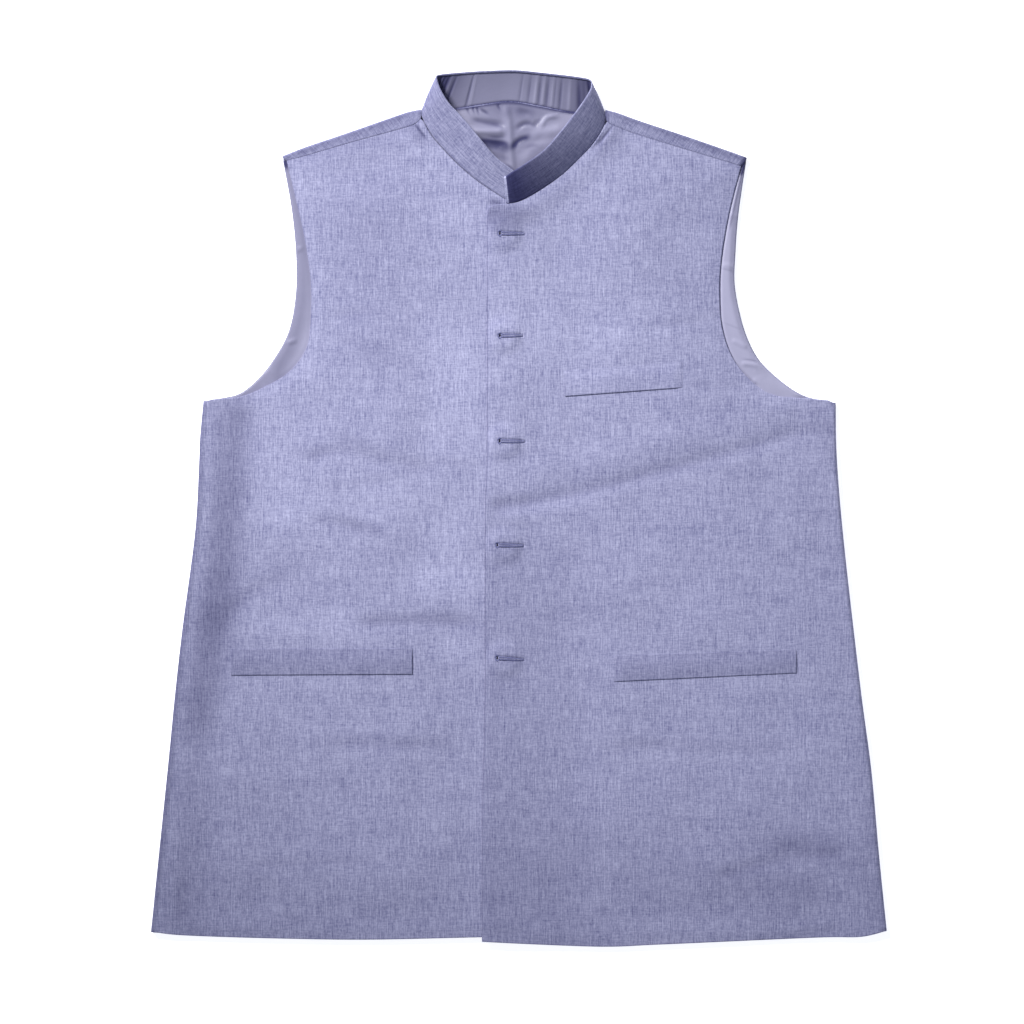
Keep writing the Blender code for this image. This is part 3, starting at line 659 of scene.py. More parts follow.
# How dark the painted shade on the lining's edge is, and how much darker at the neck
LINING_RIM_PAINTED_SHADE = 0.15
LINING_NECK_PAINTED_SHADE = 0.85
LINING_NECK_REACH = 3 * MM

# How the lining lies in the right and the left armhole. Columns: how far its edge is pressed down, how far it
# rises beyond the front and within what distance, in millimetres.
ARMHOLE_LIE = [(0.5, 0.3, 3.0), (1.5, 1.4, 1.8)]

# Where the fronts end at the armholes and the lining shows beyond them
RIGHT_FRONT_ARMHOLE = [(-276.5, 96.0), (-262.0, 97.4), (-243.0, 100.2), (-219.1, 111.2), (-202.9, 121.8),
                       (-190.5, 137.7), (-185.5, 155.9), (-184.4, 198.0), (-190.5, 241.4), (-199.8, 282.1),
                       (-205.9, 307.9)]
LEFT_FRONT_ARMHOLE = [(278.1, 95.6), (255.1, 97.7), (226.2, 100.4), (207.1, 112.1), (189.7, 133.3),
                      (180.2, 160.1), (177.9, 189.1), (179.2, 219.7), (185.9, 260.0), (196.9, 303.0)]

# Folds of the satin. Columns: half width, height in mm, then points.
NECK_FOLDS = [
    (6.0, 1.8, (-62, 341), (-45, 335.5), (-28, 334.5), (-9, 334.5)),
    (4.0, -0.9, (-44, 346), (-34, 343.5), (-22, 342), (-11, 340)),
    (6.5, -1.2, (-42, 325), (-26, 322.5), (-10, 322)),
    (5.6, 1.1, (-13, 360), (-9.8, 345), (-8.6, 330), (-7.5, 312), (-5, 292)),
    (4.5, -0.7, (-3, 354), (4, 351), (12, 348)),
    (3.6, 0.9, (17, 335), (21, 342), (26, 347), (38, 348)),
    (3.2, -0.8, (13, 337), (17.5, 346)),
    (4.0, -0.9, (-5, 334), (5, 341.5), (16, 340)),
    (4.2, -1.0, (-6, 319), (0, 326.5), (10, 330)),
    (7.0, 0.9, (8, 332), (24, 333), (42, 338)),
    (9.0, 0.9, (0, 304), (14, 316), (32, 328)),
    (8.0, 0.8, (-34, 313), (-18, 304), (-8, 297)),
    (2.0, -0.5, (-47, 358), (-44, 349)),
    (1.8, -0.5, (-41.5, 359), (-39.5, 350)),
    (2.0, -0.6, (-38, 359), (-35.5, 349)),
    (2.4, -0.6, (-34, 355), (-25, 349)),
    (1.8, -0.5, (-20, 361), (-17, 352)),
    (2.4, -0.5, (30, 357), (34, 350)),
]

# Painted shade on the lining: shadows in the neck and in its folds, the dark mouths at the shoulders' tips
# and the armhole strips, with painted highlights below zero. Columns: half width in mm, share, then points.
LINING_PAINTED_SHADE = [
    (90, 0.5, (-8, 400), (-8, 220)),
    (7.6, 0.5, (-50, 326), (-30, 322.5), (-4, 319)),
    (4.0, 0.34, (-40, 328), (-22, 326), (-6, 322)),
    (5.0, 0.2, (-34, 317), (-20, 313), (-6, 309)),
    (9.0, 0.1, (-50, 345), (-36, 340), (-14, 343)),
    (10.0, 0.12, (-34, 355), (0, 354), (40, 348)),
    (2.0, 0.3, (-30, 331), (-20, 329.5), (-11, 330)),
    (4.6, 0.62, (-9, 316), (-1, 325), (13, 331.5)),
    (3.0, 0.2, (3, 318), (11, 322), (20, 322)),
    (5.0, 0.12, (6, 312), (16, 319), (28, 325)),
    (3.4, 0.3, (-44, 346), (-30, 342.5), (-11, 339)),
    (3.2, 0.35, (-4, 335), (6, 341.5), (18, 339)),
    (8.0, 0.15, (-6, 353), (6, 351), (18, 349)),
    (2.6, 0.3, (14, 336), (19.5, 348)),
    (3.2, -0.3, (16, 333), (22, 342.5), (29, 349)),
    (4.0, -0.14, (-54, 337), (-40, 334.8), (-8, 334.8)),
    (3.0, -0.12, (-9.5, 350), (-8.2, 325), (-6, 298)),
    (1.8, 0.4, (-48, 360), (-43, 347)),
    (1.6, 0.45, (-42.5, 361), (-39, 348)),
    (1.8, 0.45, (-39, 361), (-35, 347)),
    (2.2, 0.4, (-38, 357), (-24, 348)),
    (1.8, 0.35, (-21, 363), (-16, 351)),
    (2.6, 0.4, (-15, 307), (-8, 302.5), (-3, 296)),
    (2.6, 0.35, (-90, 352), (-59, 353), (-36, 356.6), (-8, 360), (18, 356), (42, 351), (75, 349)),
    (4.6, 1.6, (209, 334), (203, 316), (198.0, 302), (195, 293)),
    (1.6, 0.5, (199.5, 307), (196, 290), (191.5, 270), (186, 245)),
    (3.5, 1.0, (-214, 326), (-208, 308), (-205, 298)),
    (24, 0.44, (-212, 360), (-196, 250), (-196, 180), (-214, 126), (-232, 106), (-290, 88)),
    (22, 0.04, (212, 360), (196, 250), (196, 180), (216, 110)),
    (1.5, 0.34, (195, 132.6), (206, 131.6), (217, 128.6)),
    (1.4, 0.2, (176, 214), (197, 208)),
    (1.4, 0.16, (178, 166), (199, 158)),
]
ARMHOLE_FOLDS = [
    (3.5, 0.5, (188, 150), (203, 142)),
    (3.4, 0.6, (196, 128.5), (207, 127.5), (219, 124)),
    (4.5, 0.5, (206, 114), (222, 110), (236, 105)),
    (4.0, 0.5, (180, 217), (198, 211)),
    (4.0, 0.4, (186, 262), (199, 256)),
    (3.5, 0.5, (-196, 150), (-207, 146)),
    (3.5, 0.4, (-214, 125), (-226, 118)),
    (4.0, 0.4, (-190, 232), (-200, 228)),
]


SATIN_DARK = linear(161, 159, 183)
SATIN_PALE = linear(180, 178, 202)
SATIN_BUMP = 0.035 * MM
SATIN_SHEEN = {"Specular IOR Level": 0.45, "Sheen Weight": 0.1, "Sheen Roughness": 0.35}


def satin_colour(weave):
    tone = weave.noise(60, 60, 2.0) * 0.18 + weave.noise(2600, 300) * 0.14 + 0.5
    return tone.between(SATIN_DARK, SATIN_PALE)


def satin_roughness(weave):
    return weave.noise(120, 120) * 0.05 + 0.4


def satin_floats(weave):
    """Fine floats of the satin along the cloth."""
    return weave.noise(3400, 500) * 0.6 + weave.noise(260, 200) * 0.6


satin = finished("lining_satin", satin_colour, satin_roughness, satin_floats, SATIN_BUMP, SATIN_SHEEN)


def inset(line, turn, far=LINING_INSET):
    """A line of the back's edge moved in to where the lining is felled to it."""
    return line - outward(line, turn) * far


lining_ring = ring_of(free(right_base[:1] + LINING_INSET), free(edge(BACK_HEM)[1:-1] + (0, LINING_INSET)),
                      free(left_base - (LINING_INSET, 0)), free(inset(left_armhole, 1, ARMHOLE_INSET)[1:-1]),
                      free(inset(left_fold_base, 1)), free(back_neck[::-1] - (0, LINING_INSET)),
                      free(inset(right_fold_base, -1)[::-1]),
                      free(inset(right_armhole, -1, ARMHOLE_INSET)[-2:0:-1]),
                      free(right_base[:0:-1] + (LINING_INSET, 0)))
plan, faces = fill(lining_ring, LINING_SPACING, fine=LINING_BOXES, fine_step=NECK_SPACING)
at_armholes = np.minimum(distance(plan, right_armhole), distance(plan, left_armhole))
heights = (LINING_TOP + creases(plan, NECK_FOLDS, LINING_FADE) + creases(plan, ARMHOLE_FOLDS, ARMHOLE_FADE)
           + ARMHOLE_RISE * smooth(1 - at_armholes / ARMHOLE_RISE_REACH))
for table, back_armhole, (pressed, rises, reach) in zip((RIGHT_FRONT_ARMHOLE, LEFT_FRONT_ARMHOLE),
                                                        (right_armhole, left_armhole), ARMHOLE_LIE):
    beyond = inside(plan, np.vstack([edge(table), back_armhole[::-1]]))
    heights += beyond * rises * MM * smooth(distance(plan, edge(table)) / (reach * MM))
    heights -= pressed * MM * smooth(1 - distance(plan, back_armhole) / ARMHOLE_PRESSED_REACH)
lining_cloth = Cloth(faces, at_heights(plan, heights), at_heights(plan, heights - SATIN), plan)
# Painted shade on the lining, and painted highlights where its marks are below zero
lining_painted_shade = np.clip(creases(plan, LINING_PAINTED_SHADE, LINING_FADE) / MM, 0.0, 1.0)
lining = shell("satin_lining", lining_cloth, satin, lining_painted_shade,
               LINING_RIM_PAINTED_SHADE + LINING_NECK_PAINTED_SHADE * (distance(plan, back_neck) < LINING_NECK_REACH))
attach(lining, "root")
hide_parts("back_lining")
cut_area(lining_cloth)

# Wearer's right front: chambray faced along its edges, sewn to the back at the side and the shoulder and to
# the collar at the neck. It lies under the left front along the opening, and its fullness keeps it off the
# lining.
FRONT_SPACING = 4 * MM
OVERLAP = 32 * MM
PUFF = 2.0 * MM
PUFF_REACH = 80 * MM
CENTRE_FLAT = 22 * MM
SIDE_REACH = 45 * MM
EDGE_LIFT = 0.6 * MM
EDGE_LIFT_REACH = 10 * MM
SEAM_DITCH = 0.15 * MM
SEAM_DITCH_REACH = 3.5 * MM
SEAM_CLOSED = 0.3 * MM
CORNER_SPACING = 2 * MM

# The fronts' soft unevenness: its height, how its waves are drawn, and how it fades towards what holds it
RIPPLE = 0.11 * MM
RIPPLE_SEED = 11
RIPPLE_WAVES = 16
RIPPLE_LENGTHS = (50, 170)
RIPPLE_MIDDLE = 110 * MM
RIPPLE_FADE = 30 * MM

# Where the right front's own creases end and those of the left front press through it, from the over edge
RIGHT_CREASES_FADE = 12 * MM
LEFT_CREASES_FROM = 2 * MM
LEFT_CREASES_FADE = 8 * MM

RIGHT_HEM = [(-323.4, -375.5), (-295.2, -378.6), (-213.8, -381.3), (-132.4, -382.3), (-33.8, -380.2),
             (-0.8, -379.8)]
LEFT_HEM = [(323.4, -375.1), (303.1, -379.8), (270.9, -380.3), (196.3, -383.5), (121.7, -386.8),
            (67.0, -388.5), (-32.9, -384.0)]
OVER_EDGE = [(-28.4, 260.0), (-28.4, 62.4), (-30.2, -10.2), (-30.2, -160.9), (-32.4, -258.3),
             (-32.9, -384.0)]
UNDER_TOP_CORNER = [(-9.0, 272.5), (-2.0, 270.0), (2.2, 267.0), (3.6, 260.0)]

# Creases that lying leaves in the fronts. Columns: half width and height in millimetres, then points. A
# trough is below zero.
RIGHT_CREASES = [
    (24, -0.65, (-247, 94), (-249, 66), (-254, 15), (-259, -29), (-262, -75)),
    (20, -0.25, (-261, -50), (-266, -95), (-279, -140)),
    (12, -0.4, (-270, -118), (-252, -88), (-234, -72), (-203, -59)),
    (9, -0.56, (-190, 38), (-163, 52), (-119, 41), (-70, 34)),
    (7, -0.56, (-194, -10), (-154, -14), (-130, -23)),
    (8, -0.24, (-154, 3), (-97, 3)),
    (10, -0.64, (-145, -101), (-92, -99), (-34, -100)),
    (8, -0.32, (-168, -207), (-70, -210)),
    (6, -0.24, (-238, -316), (-168, -313), (-92, -309)),
    (7, 0.4, (-247, -319), (-203, -334), (-168, -356)),
    (10, -0.64, (-296, -320), (-302, -372)),
    (7, -0.4, (-212, -356), (-185, -373)),
    (6, -0.27, (-114, 213), (-57, 216)),
    (7, -0.35, (-172, 171), (-128, 174)),
    (5, -0.32, (-163, 150), (-140, 146)),
    (6, -0.24, (-238, -96), (-150, -100)),
    (2.4, 0.8, (-91, 346), (-86, 339.5), (-76.5, 326), (-72, 321)),
    (2.2, -0.8, (-95.5, 344), (-89.5, 337), (-78.5, 322.5)),
]
LEFT_CREASES = [
    (10, -0.8, (-29, 1), (10, 6), (72, 19), (143, 38), (214, 58), (281, 75)),
    (11, -0.48, (-29, 3), (20, 6)),
    (11, 0.32, (-25, -12), (60, 0)),
    (24, 0.8, (0, 26), (110, 52), (250, 92)),
    (8, -0.32, (82, -210), (151, -210)),
    (9, -0.56, (169, -329), (222, -313), (293, -304)),
    (10, -0.56, (222, -303), (267, -298)),
    (9, -0.48, (196, -387), (249, -381), (293, -369)),
    (7, -0.32, (107, 158), (151, 165), (191, 174)),
    (6, -0.24, (144, 107), (213, 109)),
    (9, -0.56, (275, 85), (278, 25)),
    (9, -0.24, (27, -63), (36, -117)),
    (2.4, 0.8, (80, 344), (75, 336), (65, 321), (60, 316)),
    (2.2, -0.8, (85, 342), (78.5, 333), (67.5, 319)),
]

# Painted shade on the fronts, and painted highlights where the share is below zero. Columns: half width in
# mm, share, then points.
RIGHT_PAINTED_SHADE = [
    (26, 0.19, (-247, 150), (-251, 60), (-257, -25), (-262, -85), (-276, -130), (-290, -220)),
    (16, 0.12, (-268, 130), (-269, 60), (-274, -50), (-284, -130)),
    (14, 0.06, (-320, -120), (-276, -95), (-240, -78), (-180, -45)),
    (30, 0.12, (-262, -40), (-282, -180), (-294, -300), (-302, -430)),
    (70, 0.1, (-135, 400), (-130, 100)),
    (60, 0.05, (-210, 250), (-60, 250)),
    (34, 0.42, (-250, 316), (-150, 345), (-40, 382)),
    (26, -0.1, (-74, 190), (-72, 20)),
    (24, -0.1, (-44, 190), (-42, 20)),
    (34, -0.08, (-64, 0), (-70, -90)),
    (24, -0.12, (-262, -100), (-195, -102), (-124, -97)),
    (26, -0.13, (-120, -64), (-60, -64), (-6, -60)),
    (20, -0.12, (-100, -124), (-20, -125)),
    (22, -0.08, (-240, -10), (-190, -12), (-140, -38)),
    (26, -0.06, (-60, 170), (-58, 60)),
    (60, -0.08, (-250, 10), (-130, 10), (-20, 0)),
    (12, 0.11, (-222, 50), (-180, 50), (-140, 47)),
    (9, 0.1, (-190, 62), (-163, 66), (-120, 50), (-60, 42), (-10, 40)),
    (9, 0.1, (-200, 26), (-160, 20), (-110, 30), (-60, 36)),
    (7, 0.09, (-180, -2), (-140, -14), (-104, -30)),
    (11, 0.11, (-220, -16), (-170, -17), (-115, -22)),
    (9, 0.11, (-165, -99), (-90, -99), (-10, -98)),
    (10, 0.07, (-205, -205), (-120, -208), (-40, -207)),
    (90, 0.05, (-320, -350), (0, -350)),
    (7, 0.5, (-30, 276), (-19, 270), (-8, 266)),
    (2.2, 0.4, (-97, 346), (-89.5, 337), (-77, 321)),
    (9, 0.2, (-112, 352), (-92, 333), (-78, 314)),
]
LEFT_PAINTED_SHADE = [
    (40, 0.12, (-28, 30), (-28, -80), (-28, -460)),
    (60, 0.08, (20, 0), (24, -100), (28, -460)),
    (24, 0.14, (306, 0), (316, -200), (328, -430)),
    (24, 0.12, (195, -290), (245, -298), (275, -303), (320, -318)),
    (30, 0.1, (155, -330), (225, -335), (290, -345)),
    (60, -0.08, (-40, 150), (40, 152), (160, 150)),
    (10, 0.08, (50, -208), (150, -211), (260, -211)),
    (110, 0.08, (-60, -340), (340, -340)),
    (34, 0.2, (245, 316), (150, 345), (40, 382)),
    (15, 0.42, (-78, 263), (-20, 260), (26, 259)),
    (13, 0.2, (-72, 250), (-22, 247), (18, 246)),
    (2.2, 0.4, (86, 343), (78.5, 333), (66, 317)),
    (8, 0.14, (100, 350), (84, 331), (68, 312)),
]
NECK_BOXES = [(-98 * MM, 317 * MM, -70 * MM, 348 * MM), (58 * MM, 314 * MM, 88 * MM, 346 * MM)]
NECK_BOX_SPACING = 1.2 * MM


def from_over_edge(points):
    """How far to the wearer's left of the over front's edge each point is."""
    table = np.array(OVER_EDGE[::-1]) * MM
    return points[:, 0] - np.interp(points[:, 1], table[:, 1], table[:, 0])


def ripples(points):
    """A soft unevenness, the sum of waves of many lengths and ways. Longer waves are higher."""
    random = np.random.default_rng(RIPPLE_SEED)
    total = np.zeros(len(points))
    for _ in range(RIPPLE_WAVES):
        turn, phase = random.uniform(0, 2 * math.pi, 2)
        length = random.uniform(*RIPPLE_LENGTHS) * MM
        run = points @ np.array([math.cos(turn), math.sin(turn)])
        total += np.sin(2 * math.pi * run / length + phase) * length / RIPPLE_MIDDLE
    return total


over_edge = edge(OVER_EDGE)
free_edges = [edge(table) for table in (RIGHT_FRONT_ARMHOLE, LEFT_FRONT_ARMHOLE, RIGHT_HEM, LEFT_HEM)]


def front_low(points, right_share, left_share):
    """The height of the fronts' underside, with shares of the creases of the right and the left front."""
    at_edges = np.min([distance(points, line) for line in free_edges], axis=0)
    at_shoulders = np.minimum(distance(points, right_seams), distance(points, left_seams))
    calm = np.minimum(np.minimum(at_edges, at_shoulders), neck_distance(points))
    centre = np.abs(from_over_edge(points) - OVERLAP / 2)
    apart = smooth((centre - CENTRE_FLAT) / PUFF_REACH)
    low = FRONT_LOW + neck_rise(points) + PUFF * apart * smooth(calm / PUFF_REACH)
    low += EDGE_LIFT * smooth(np.minimum(at_edges, calm) / EDGE_LIFT_REACH)
    low -= SEAM_DITCH * smooth(1 - at_shoulders / SEAM_DITCH_REACH)
    low += (RIPPLE * ripples(points) * smooth(calm / RIPPLE_FADE)
            * smooth((centre - CENTRE_FLAT) / RIPPLE_FADE))
    low += right_share * creases(points, RIGHT_CREASES) + left_share * creases(points, LEFT_CREASES)
    for side, base, radii in ((-1, right_base, right_radii), (1, left_base, left_radii)):
        near = smooth(1 - distance(points, base) / SIDE_REACH) * (points[:, 0] * side > 0)
        low += near * (2 * np.interp(points[:, 1], base[:, 1], radii) - CLOTH - low)
    return low


def under_top(points):
    """The height of the right front's outer side."""
    past = from_over_edge(points)
    right_share = 1 - smooth(past / RIGHT_CREASES_FADE)
    left_share = smooth((past + LEFT_CREASES_FROM) / LEFT_CREASES_FADE)
    return front_low(points, right_share, left_share) + CLOTH


right_front_seam = right_seams + right_fold_normals * SEAM_CLOSED
under_edge = edge(OVER_EDGE) + (OVERLAP, 0)
right_ring = ring_of(joined(right_base[:1]), free(edge(RIGHT_HEM)[1:-1]), free(under_edge[::-1]),
                     free(edge(UNDER_TOP_CORNER, CORNER_SPACING)[-2:0:-1]), free(right_neck),
                     free(right_front_seam[::-1]), free(edge(RIGHT_FRONT_ARMHOLE)[-2:0:-1]),
                     joined(right_base[:0:-1]))
plan, faces = fill(right_ring, FRONT_SPACING, fine=NECK_BOXES[:1], fine_step=NECK_BOX_SPACING)
heights = under_top(plan)
right_cloth = Cloth(faces, at_heights(plan, heights), at_heights(plan, heights - CLOTH), plan)
right_cloth.add_rows(right_base, side_rows(right_side, right_normals, right_radii, 1))
# Painted shade on the right front: marks, crease troughs, and its side roll, which faces the light
right_painted_shade = painted_shade(right_cloth.weave, RIGHT_PAINTED_SHADE, RIGHT_CREASES) + painted_fold_shade(
    right_cloth.weave, right_base, right_normals, ROLL_RADIUS, ROLL_PAINTED_SHADE, ROLL_PAINTED_SHADE_REACH)
right_front = shell("right_front_panel", right_cloth, chambray, np.minimum(right_painted_shade, 1.0))
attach(right_front, "root")
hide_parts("right_front")
cut_area(right_cloth)

# Wearer's left front: as the right one, and over it. Five keyhole buttonholes are cut through it, and the
# buttons under it push it up a little.
OVER_TOP_CORNER = [(-10.9, 269.7), (-22.0, 268.9), (-27.0, 266.0), (-28.4, 260.0)]
OVER_RISE = [(0, 2.0), (6, 2.3), (24, 2.3), (34, 1.9), (60, 0.8), (85, 0.0), (120, 0.0)]
OVER_RISE_PER_ROW = 8
OVER_EDGE_SHADE = 0.66
ON_EDGE = 1.5 * HEM_ROUND
ARMHOLE_SHADE_FROM = 150 * MM
ARMHOLE_SHADE_REACH = 130 * MM
BUTTON_X = -13.4 * MM
BUTTON_PUSH = 1.5 * MM
BUTTON_PUSH_FROM = 8 * MM
BUTTON_PUSH_REACH = 11 * MM

# Buttonholes. Columns: the eye's x and y, and the x and y of the far end of the slit, in millimetres.
BUTTONHOLES = [(-16.9, 243.6, 4.8, 243.2), (-16.9, 153.1, 3.0, 153.1), (-17.1, 59.8, 4.6, 59.2),
               (-19.2, -32.4, 3.7, -33.1), (-19.2, -132.4, 3.7, -134.1)]
EYE = (1.0, 1.7)
SLIT_HALF = (0.28, 0.1)
SLIT_POINTS = 24
LIP_RAISE = 0.3 * MM
LIP_HALF = 1.3 * MM
PINCH_AT = 1.75 * MM
PINCH_HALF = 0.9 * MM
PINCH_DEPTH = 0.55 * MM
BUTTONHOLE_SPACING = 0.7 * MM
# Painted shade round each buttonhole: its share, its half width and how far it reaches before and beyond, in
# mm
BUTTONHOLE_PAINTED_SHADE = 0.3
BUTTONHOLE_PAINTED_SHADE_HALF = 5
BUTTONHOLE_PAINTED_SHADE_BEFORE, BUTTONHOLE_PAINTED_SHADE_BEYOND = 6, 4
BUTTONHOLE_BOX = (5, 4.5, 3)
EYE_POINTS = 14
LIP_NARROWS = 0.5


def over_rise(points):
    """How far the over front stands above where the fronts lie, over the under front and its buttons."""
    table = curve(OVER_RISE, OVER_RISE_PER_ROW)
    rise = np.interp(from_over_edge(points), table[:, 0] * MM, table[:, 1] * MM)
    for *_, y in BUTTONHOLES:
        off = np.linalg.norm(points - np.array([BUTTON_X, y * MM]), axis=1)
        rise += BUTTON_PUSH * smooth(1 - (off - BUTTON_PUSH_FROM) / BUTTON_PUSH_REACH)
    return rise


def over_top(points):
    """The height of the left front's outer side, without its buttonholes' lips."""
    return front_low(points, 0.0, 1.0) + over_rise(points) + CLOTH


def buttonhole_relief(points):
    """The raised lips of the buttonholes and the pinched cloth round them."""
    total = np.zeros(len(points))
    for x0, y0, x1, y1 in BUTTONHOLES:
        start, end = np.array([x0, y0]) * MM, np.array([x1, y1]) * MM
        along = end - start
        share = np.clip(((points - start) @ along) / (along @ along), 0.0, 1.0)
        off = np.linalg.norm(points - start - share[:, None] * along, axis=1)
        narrowing = 1 - LIP_NARROWS * share ** 2
        total += LIP_RAISE * smooth(1 - off / (LIP_HALF * narrowing))
        total -= PINCH_DEPTH * smooth(1 - np.abs(off - PINCH_AT * narrowing) / PINCH_HALF)
    return total


def buttonhole_ring(x0, y0, x1, y1):
    """The keyhole that is cut for one button, counter-clockwise."""
    middle = math.asin(SLIT_HALF[0] / EYE[1])
    turns = np.linspace(middle, 2 * math.pi - middle, EYE_POINTS)
    eye = np.column_stack([x0 + EYE[0] * np.cos(turns), y0 + EYE[1] * np.sin(turns)])
    shares = np.linspace(0, 1, SLIT_POINTS)[1:]
    axis = np.column_stack([x0 + EYE[0] + (x1 - x0 - EYE[0]) * shares, y0 + (y1 - y0) * shares])
    half = SLIT_HALF[0] + (SLIT_HALF[1] - SLIT_HALF[0]) * shares
    lower = axis - np.column_stack([np.zeros(len(half)), half])
    upper = axis + np.column_stack([np.zeros(len(half)), half])
    return np.vstack([eye, lower, upper[::-1]]) * MM


left_front_seam = left_seams + left_fold_normals * SEAM_CLOSED
left_ring = ring_of(joined(left_base), free(edge(LEFT_FRONT_ARMHOLE)[1:-1]), free(left_front_seam),
                    free(left_neck), free(edge(OVER_TOP_CORNER, CORNER_SPACING)[1:-1]), free(over_edge),
                    free(edge(LEFT_HEM)[-2:0:-1]))
holes = [buttonhole_ring(*row) for row in BUTTONHOLES]
before, beside, beyond = BUTTONHOLE_BOX
boxes = [((x0 - before) * MM, (y0 - beside) * MM, (x1 + beyond) * MM, (y0 + beside) * MM)
         for x0, y0, x1, _ in BUTTONHOLES] + NECK_BOXES[1:]
plan, faces = fill(left_ring, FRONT_SPACING, holes, boxes, BUTTONHOLE_SPACING)
heights = over_top(plan) + buttonhole_relief(plan)
left_cloth = Cloth(faces, at_heights(plan, heights), at_heights(plan, heights - CLOTH), plan)
left_cloth.add_rows(left_base, side_rows(left_side, left_normals, left_radii, 1))
# Painted shade on the left front's edges, most on the over edge, none low on the armhole, and round the
# buttonholes
left_edge_painted_shade = np.where(distance(left_cloth.weave, over_edge) < ON_EDGE, OVER_EDGE_SHADE, EDGE_SHADE)
at_armhole = distance(left_cloth.weave, edge(LEFT_FRONT_ARMHOLE)) < ON_EDGE
armhole_painted_shade = EDGE_SHADE * smooth((left_cloth.weave[:, 1] - ARMHOLE_SHADE_FROM) / ARMHOLE_SHADE_REACH)
left_edge_painted_shade = np.where(at_armhole, armhole_painted_shade, left_edge_painted_shade)
holes_painted_shade = [(BUTTONHOLE_PAINTED_SHADE_HALF, BUTTONHOLE_PAINTED_SHADE,
               (x0 - BUTTONHOLE_PAINTED_SHADE_BEFORE, y0), (x0, y0), (x1 + BUTTONHOLE_PAINTED_SHADE_BEYOND, y1))
              for x0, y0, x1, y1 in BUTTONHOLES]
left_front = shell("left_front_panel", left_cloth, chambray,
                   painted_shade(left_cloth.weave, LEFT_PAINTED_SHADE + holes_painted_shade, LEFT_CREASES), left_edge_painted_shade)
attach(left_front, "root")
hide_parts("left_front")
cut_area(left_cloth)

# Welts: folded strips of the same cloth over the pockets' mouths, sewn on along their lower edge and at both
# ends. An edge that hardly shows is pressed flat into the front.
WELT = 0.6 * MM
WELT_RAISED = 0.35 * MM
WELT_RAISED_FROM = 1.2
WELT_OFF = 0.12 * MM
WELT_FLUSH = 0.8
WELT_SPACING = 3.2 * MM
WELT_PRESSED = 0.5 * MM
WELT_PRESSED_REACH = 8 * MM

# Columns: left x, its bottom y, its top y, right x, its bottom y, its top y, in millimetres, then how plainly
# its left, bottom, right and top edges show, from 0 to 1, which also sets their painted shade, and how much
# darker than the fronts it is
WELTS = {
    "chest_welt": (40.5, 99.4, 121.8, 144.6, 107.1, 129.5, 0.9, 0.75, 0.0, 0.0, -0.03),
    "left_pocket_welt": (84.1, -153.2, -130.4, 245.7, -145.5, -125.0, 0.2, 0.6, 0.9, 0.2, 0.15),
    "right_pocket_welt": (-254.8, -147.6, -124.5, -94.4, -146.6, -123.8, 0.7, 0.7, 0.9, 0.3, 0.18),
}


def folded_colour(weave):
    return (slubs(weave) * 0.6 + 0.56).between(WARP_DARK, WEFT_PALE)


folded_chambray = finished("blue_chambray_folded", folded_colour, chambray_roughness, plain_weave,
                           CHAMBRAY_BUMP, CHAMBRAY_SHEEN)
for node, row in WELTS.items():
    left, left_low, left_high, right, right_low, right_high = (v * MM for v in row[:6])
    *shows, darker = row[6:]
    corners = np.array([(left, left_low), (right, right_low), (right, right_high), (left, left_high)])
    sides = [evenly(np.array([a, b]), WELT_SPACING)[:-1]
             for a, b in zip(corners, np.roll(corners, -1, axis=0))]
    plan, faces = fill(ring_of(*(free(side) for side in sides)), WELT_SPACING)
    panel_top, panel = (under_top, right_front) if right < 0 else (over_top, left_front)
    low_line = left_low + (plan[:, 0] - left) / (right - left) * (right_low - left_low)
    share = (plan[:, 1] - low_line) / (left_high - left_low)
    off = [distance(plan, np.array([a, b])) for a, b in zip(np.roll(corners, 1, axis=0), corners)]
    plain = np.array(shows)[np.argmin(off, axis=0)]
    faint = np.max([(1 - show) * smooth(1 - far / WELT_PRESSED_REACH) for show, far in zip(shows, off)],
                   axis=0)
    thick = WELT - WELT_PRESSED * faint
    raised = WELT_RAISED * smooth(WELT_RAISED_FROM - share) * (1 - faint)
    low = panel_top(plan) + WELT_OFF * (1 - WELT_FLUSH * faint) + raised
    cloth = Cloth(faces, at_heights(plan, low + thick), at_heights(plan, low), plan)
    # The strip's base painted shade and its own darkness, and painted shade along its edges as plainly as
    # they show
    tone = BASE_PAINTED_SHADE + darker
    strip = shell(node + "_strip", cloth, folded_chambray, tone, np.maximum(plain * EDGE_SHADE, tone))
    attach(strip, "root")
    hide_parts(node)

# Stand collar: an outer ply of chambray, whose top edge is turned over to the inside, and an inner ply of
# satin. Both are sewn round the neck and stand up from it, leaning in over the neck.
COLLAR_PLY = 0.6 * MM
COLLAR_CLEARANCE = 0.5 * MM
COLLAR_CROWN = 0.6 * MM
COLLAR_TURN = 1.0 * MM
COLLAR_TURNED = 0.6 * MM
COLLAR_FOLD_THIN = 0.42
OUTER_CUT, INNER_CUT = 27 * MM, 25 * MM
INNER_FROM, INNER_TO = 0.7 * MM, 1.3 * MM
INNER_SHORT = 1.2 * MM
COLLAR_STRIPS = 18
COLLAR_STATIONS = 20
TURN_ANGLES = np.radians([25, 50, 75, 100, 125, 150, 180])
INSIDE_DEPTHS = np.array([0.35, 0.7, 1.0]) * COLLAR_TURNED

# Places in rows of the neck seam: the middle of the back, the corners that the collar makes at the shoulders,
# how far these reach, and how far the painted shade along the outer ply's edges reaches
MIDDLE_ROW = 14
CORNER_ROWS = (9.5, 19.0)
CORNER_REACH = 2.2
EDGE_PAINTED_SHADE_TO = 27.0

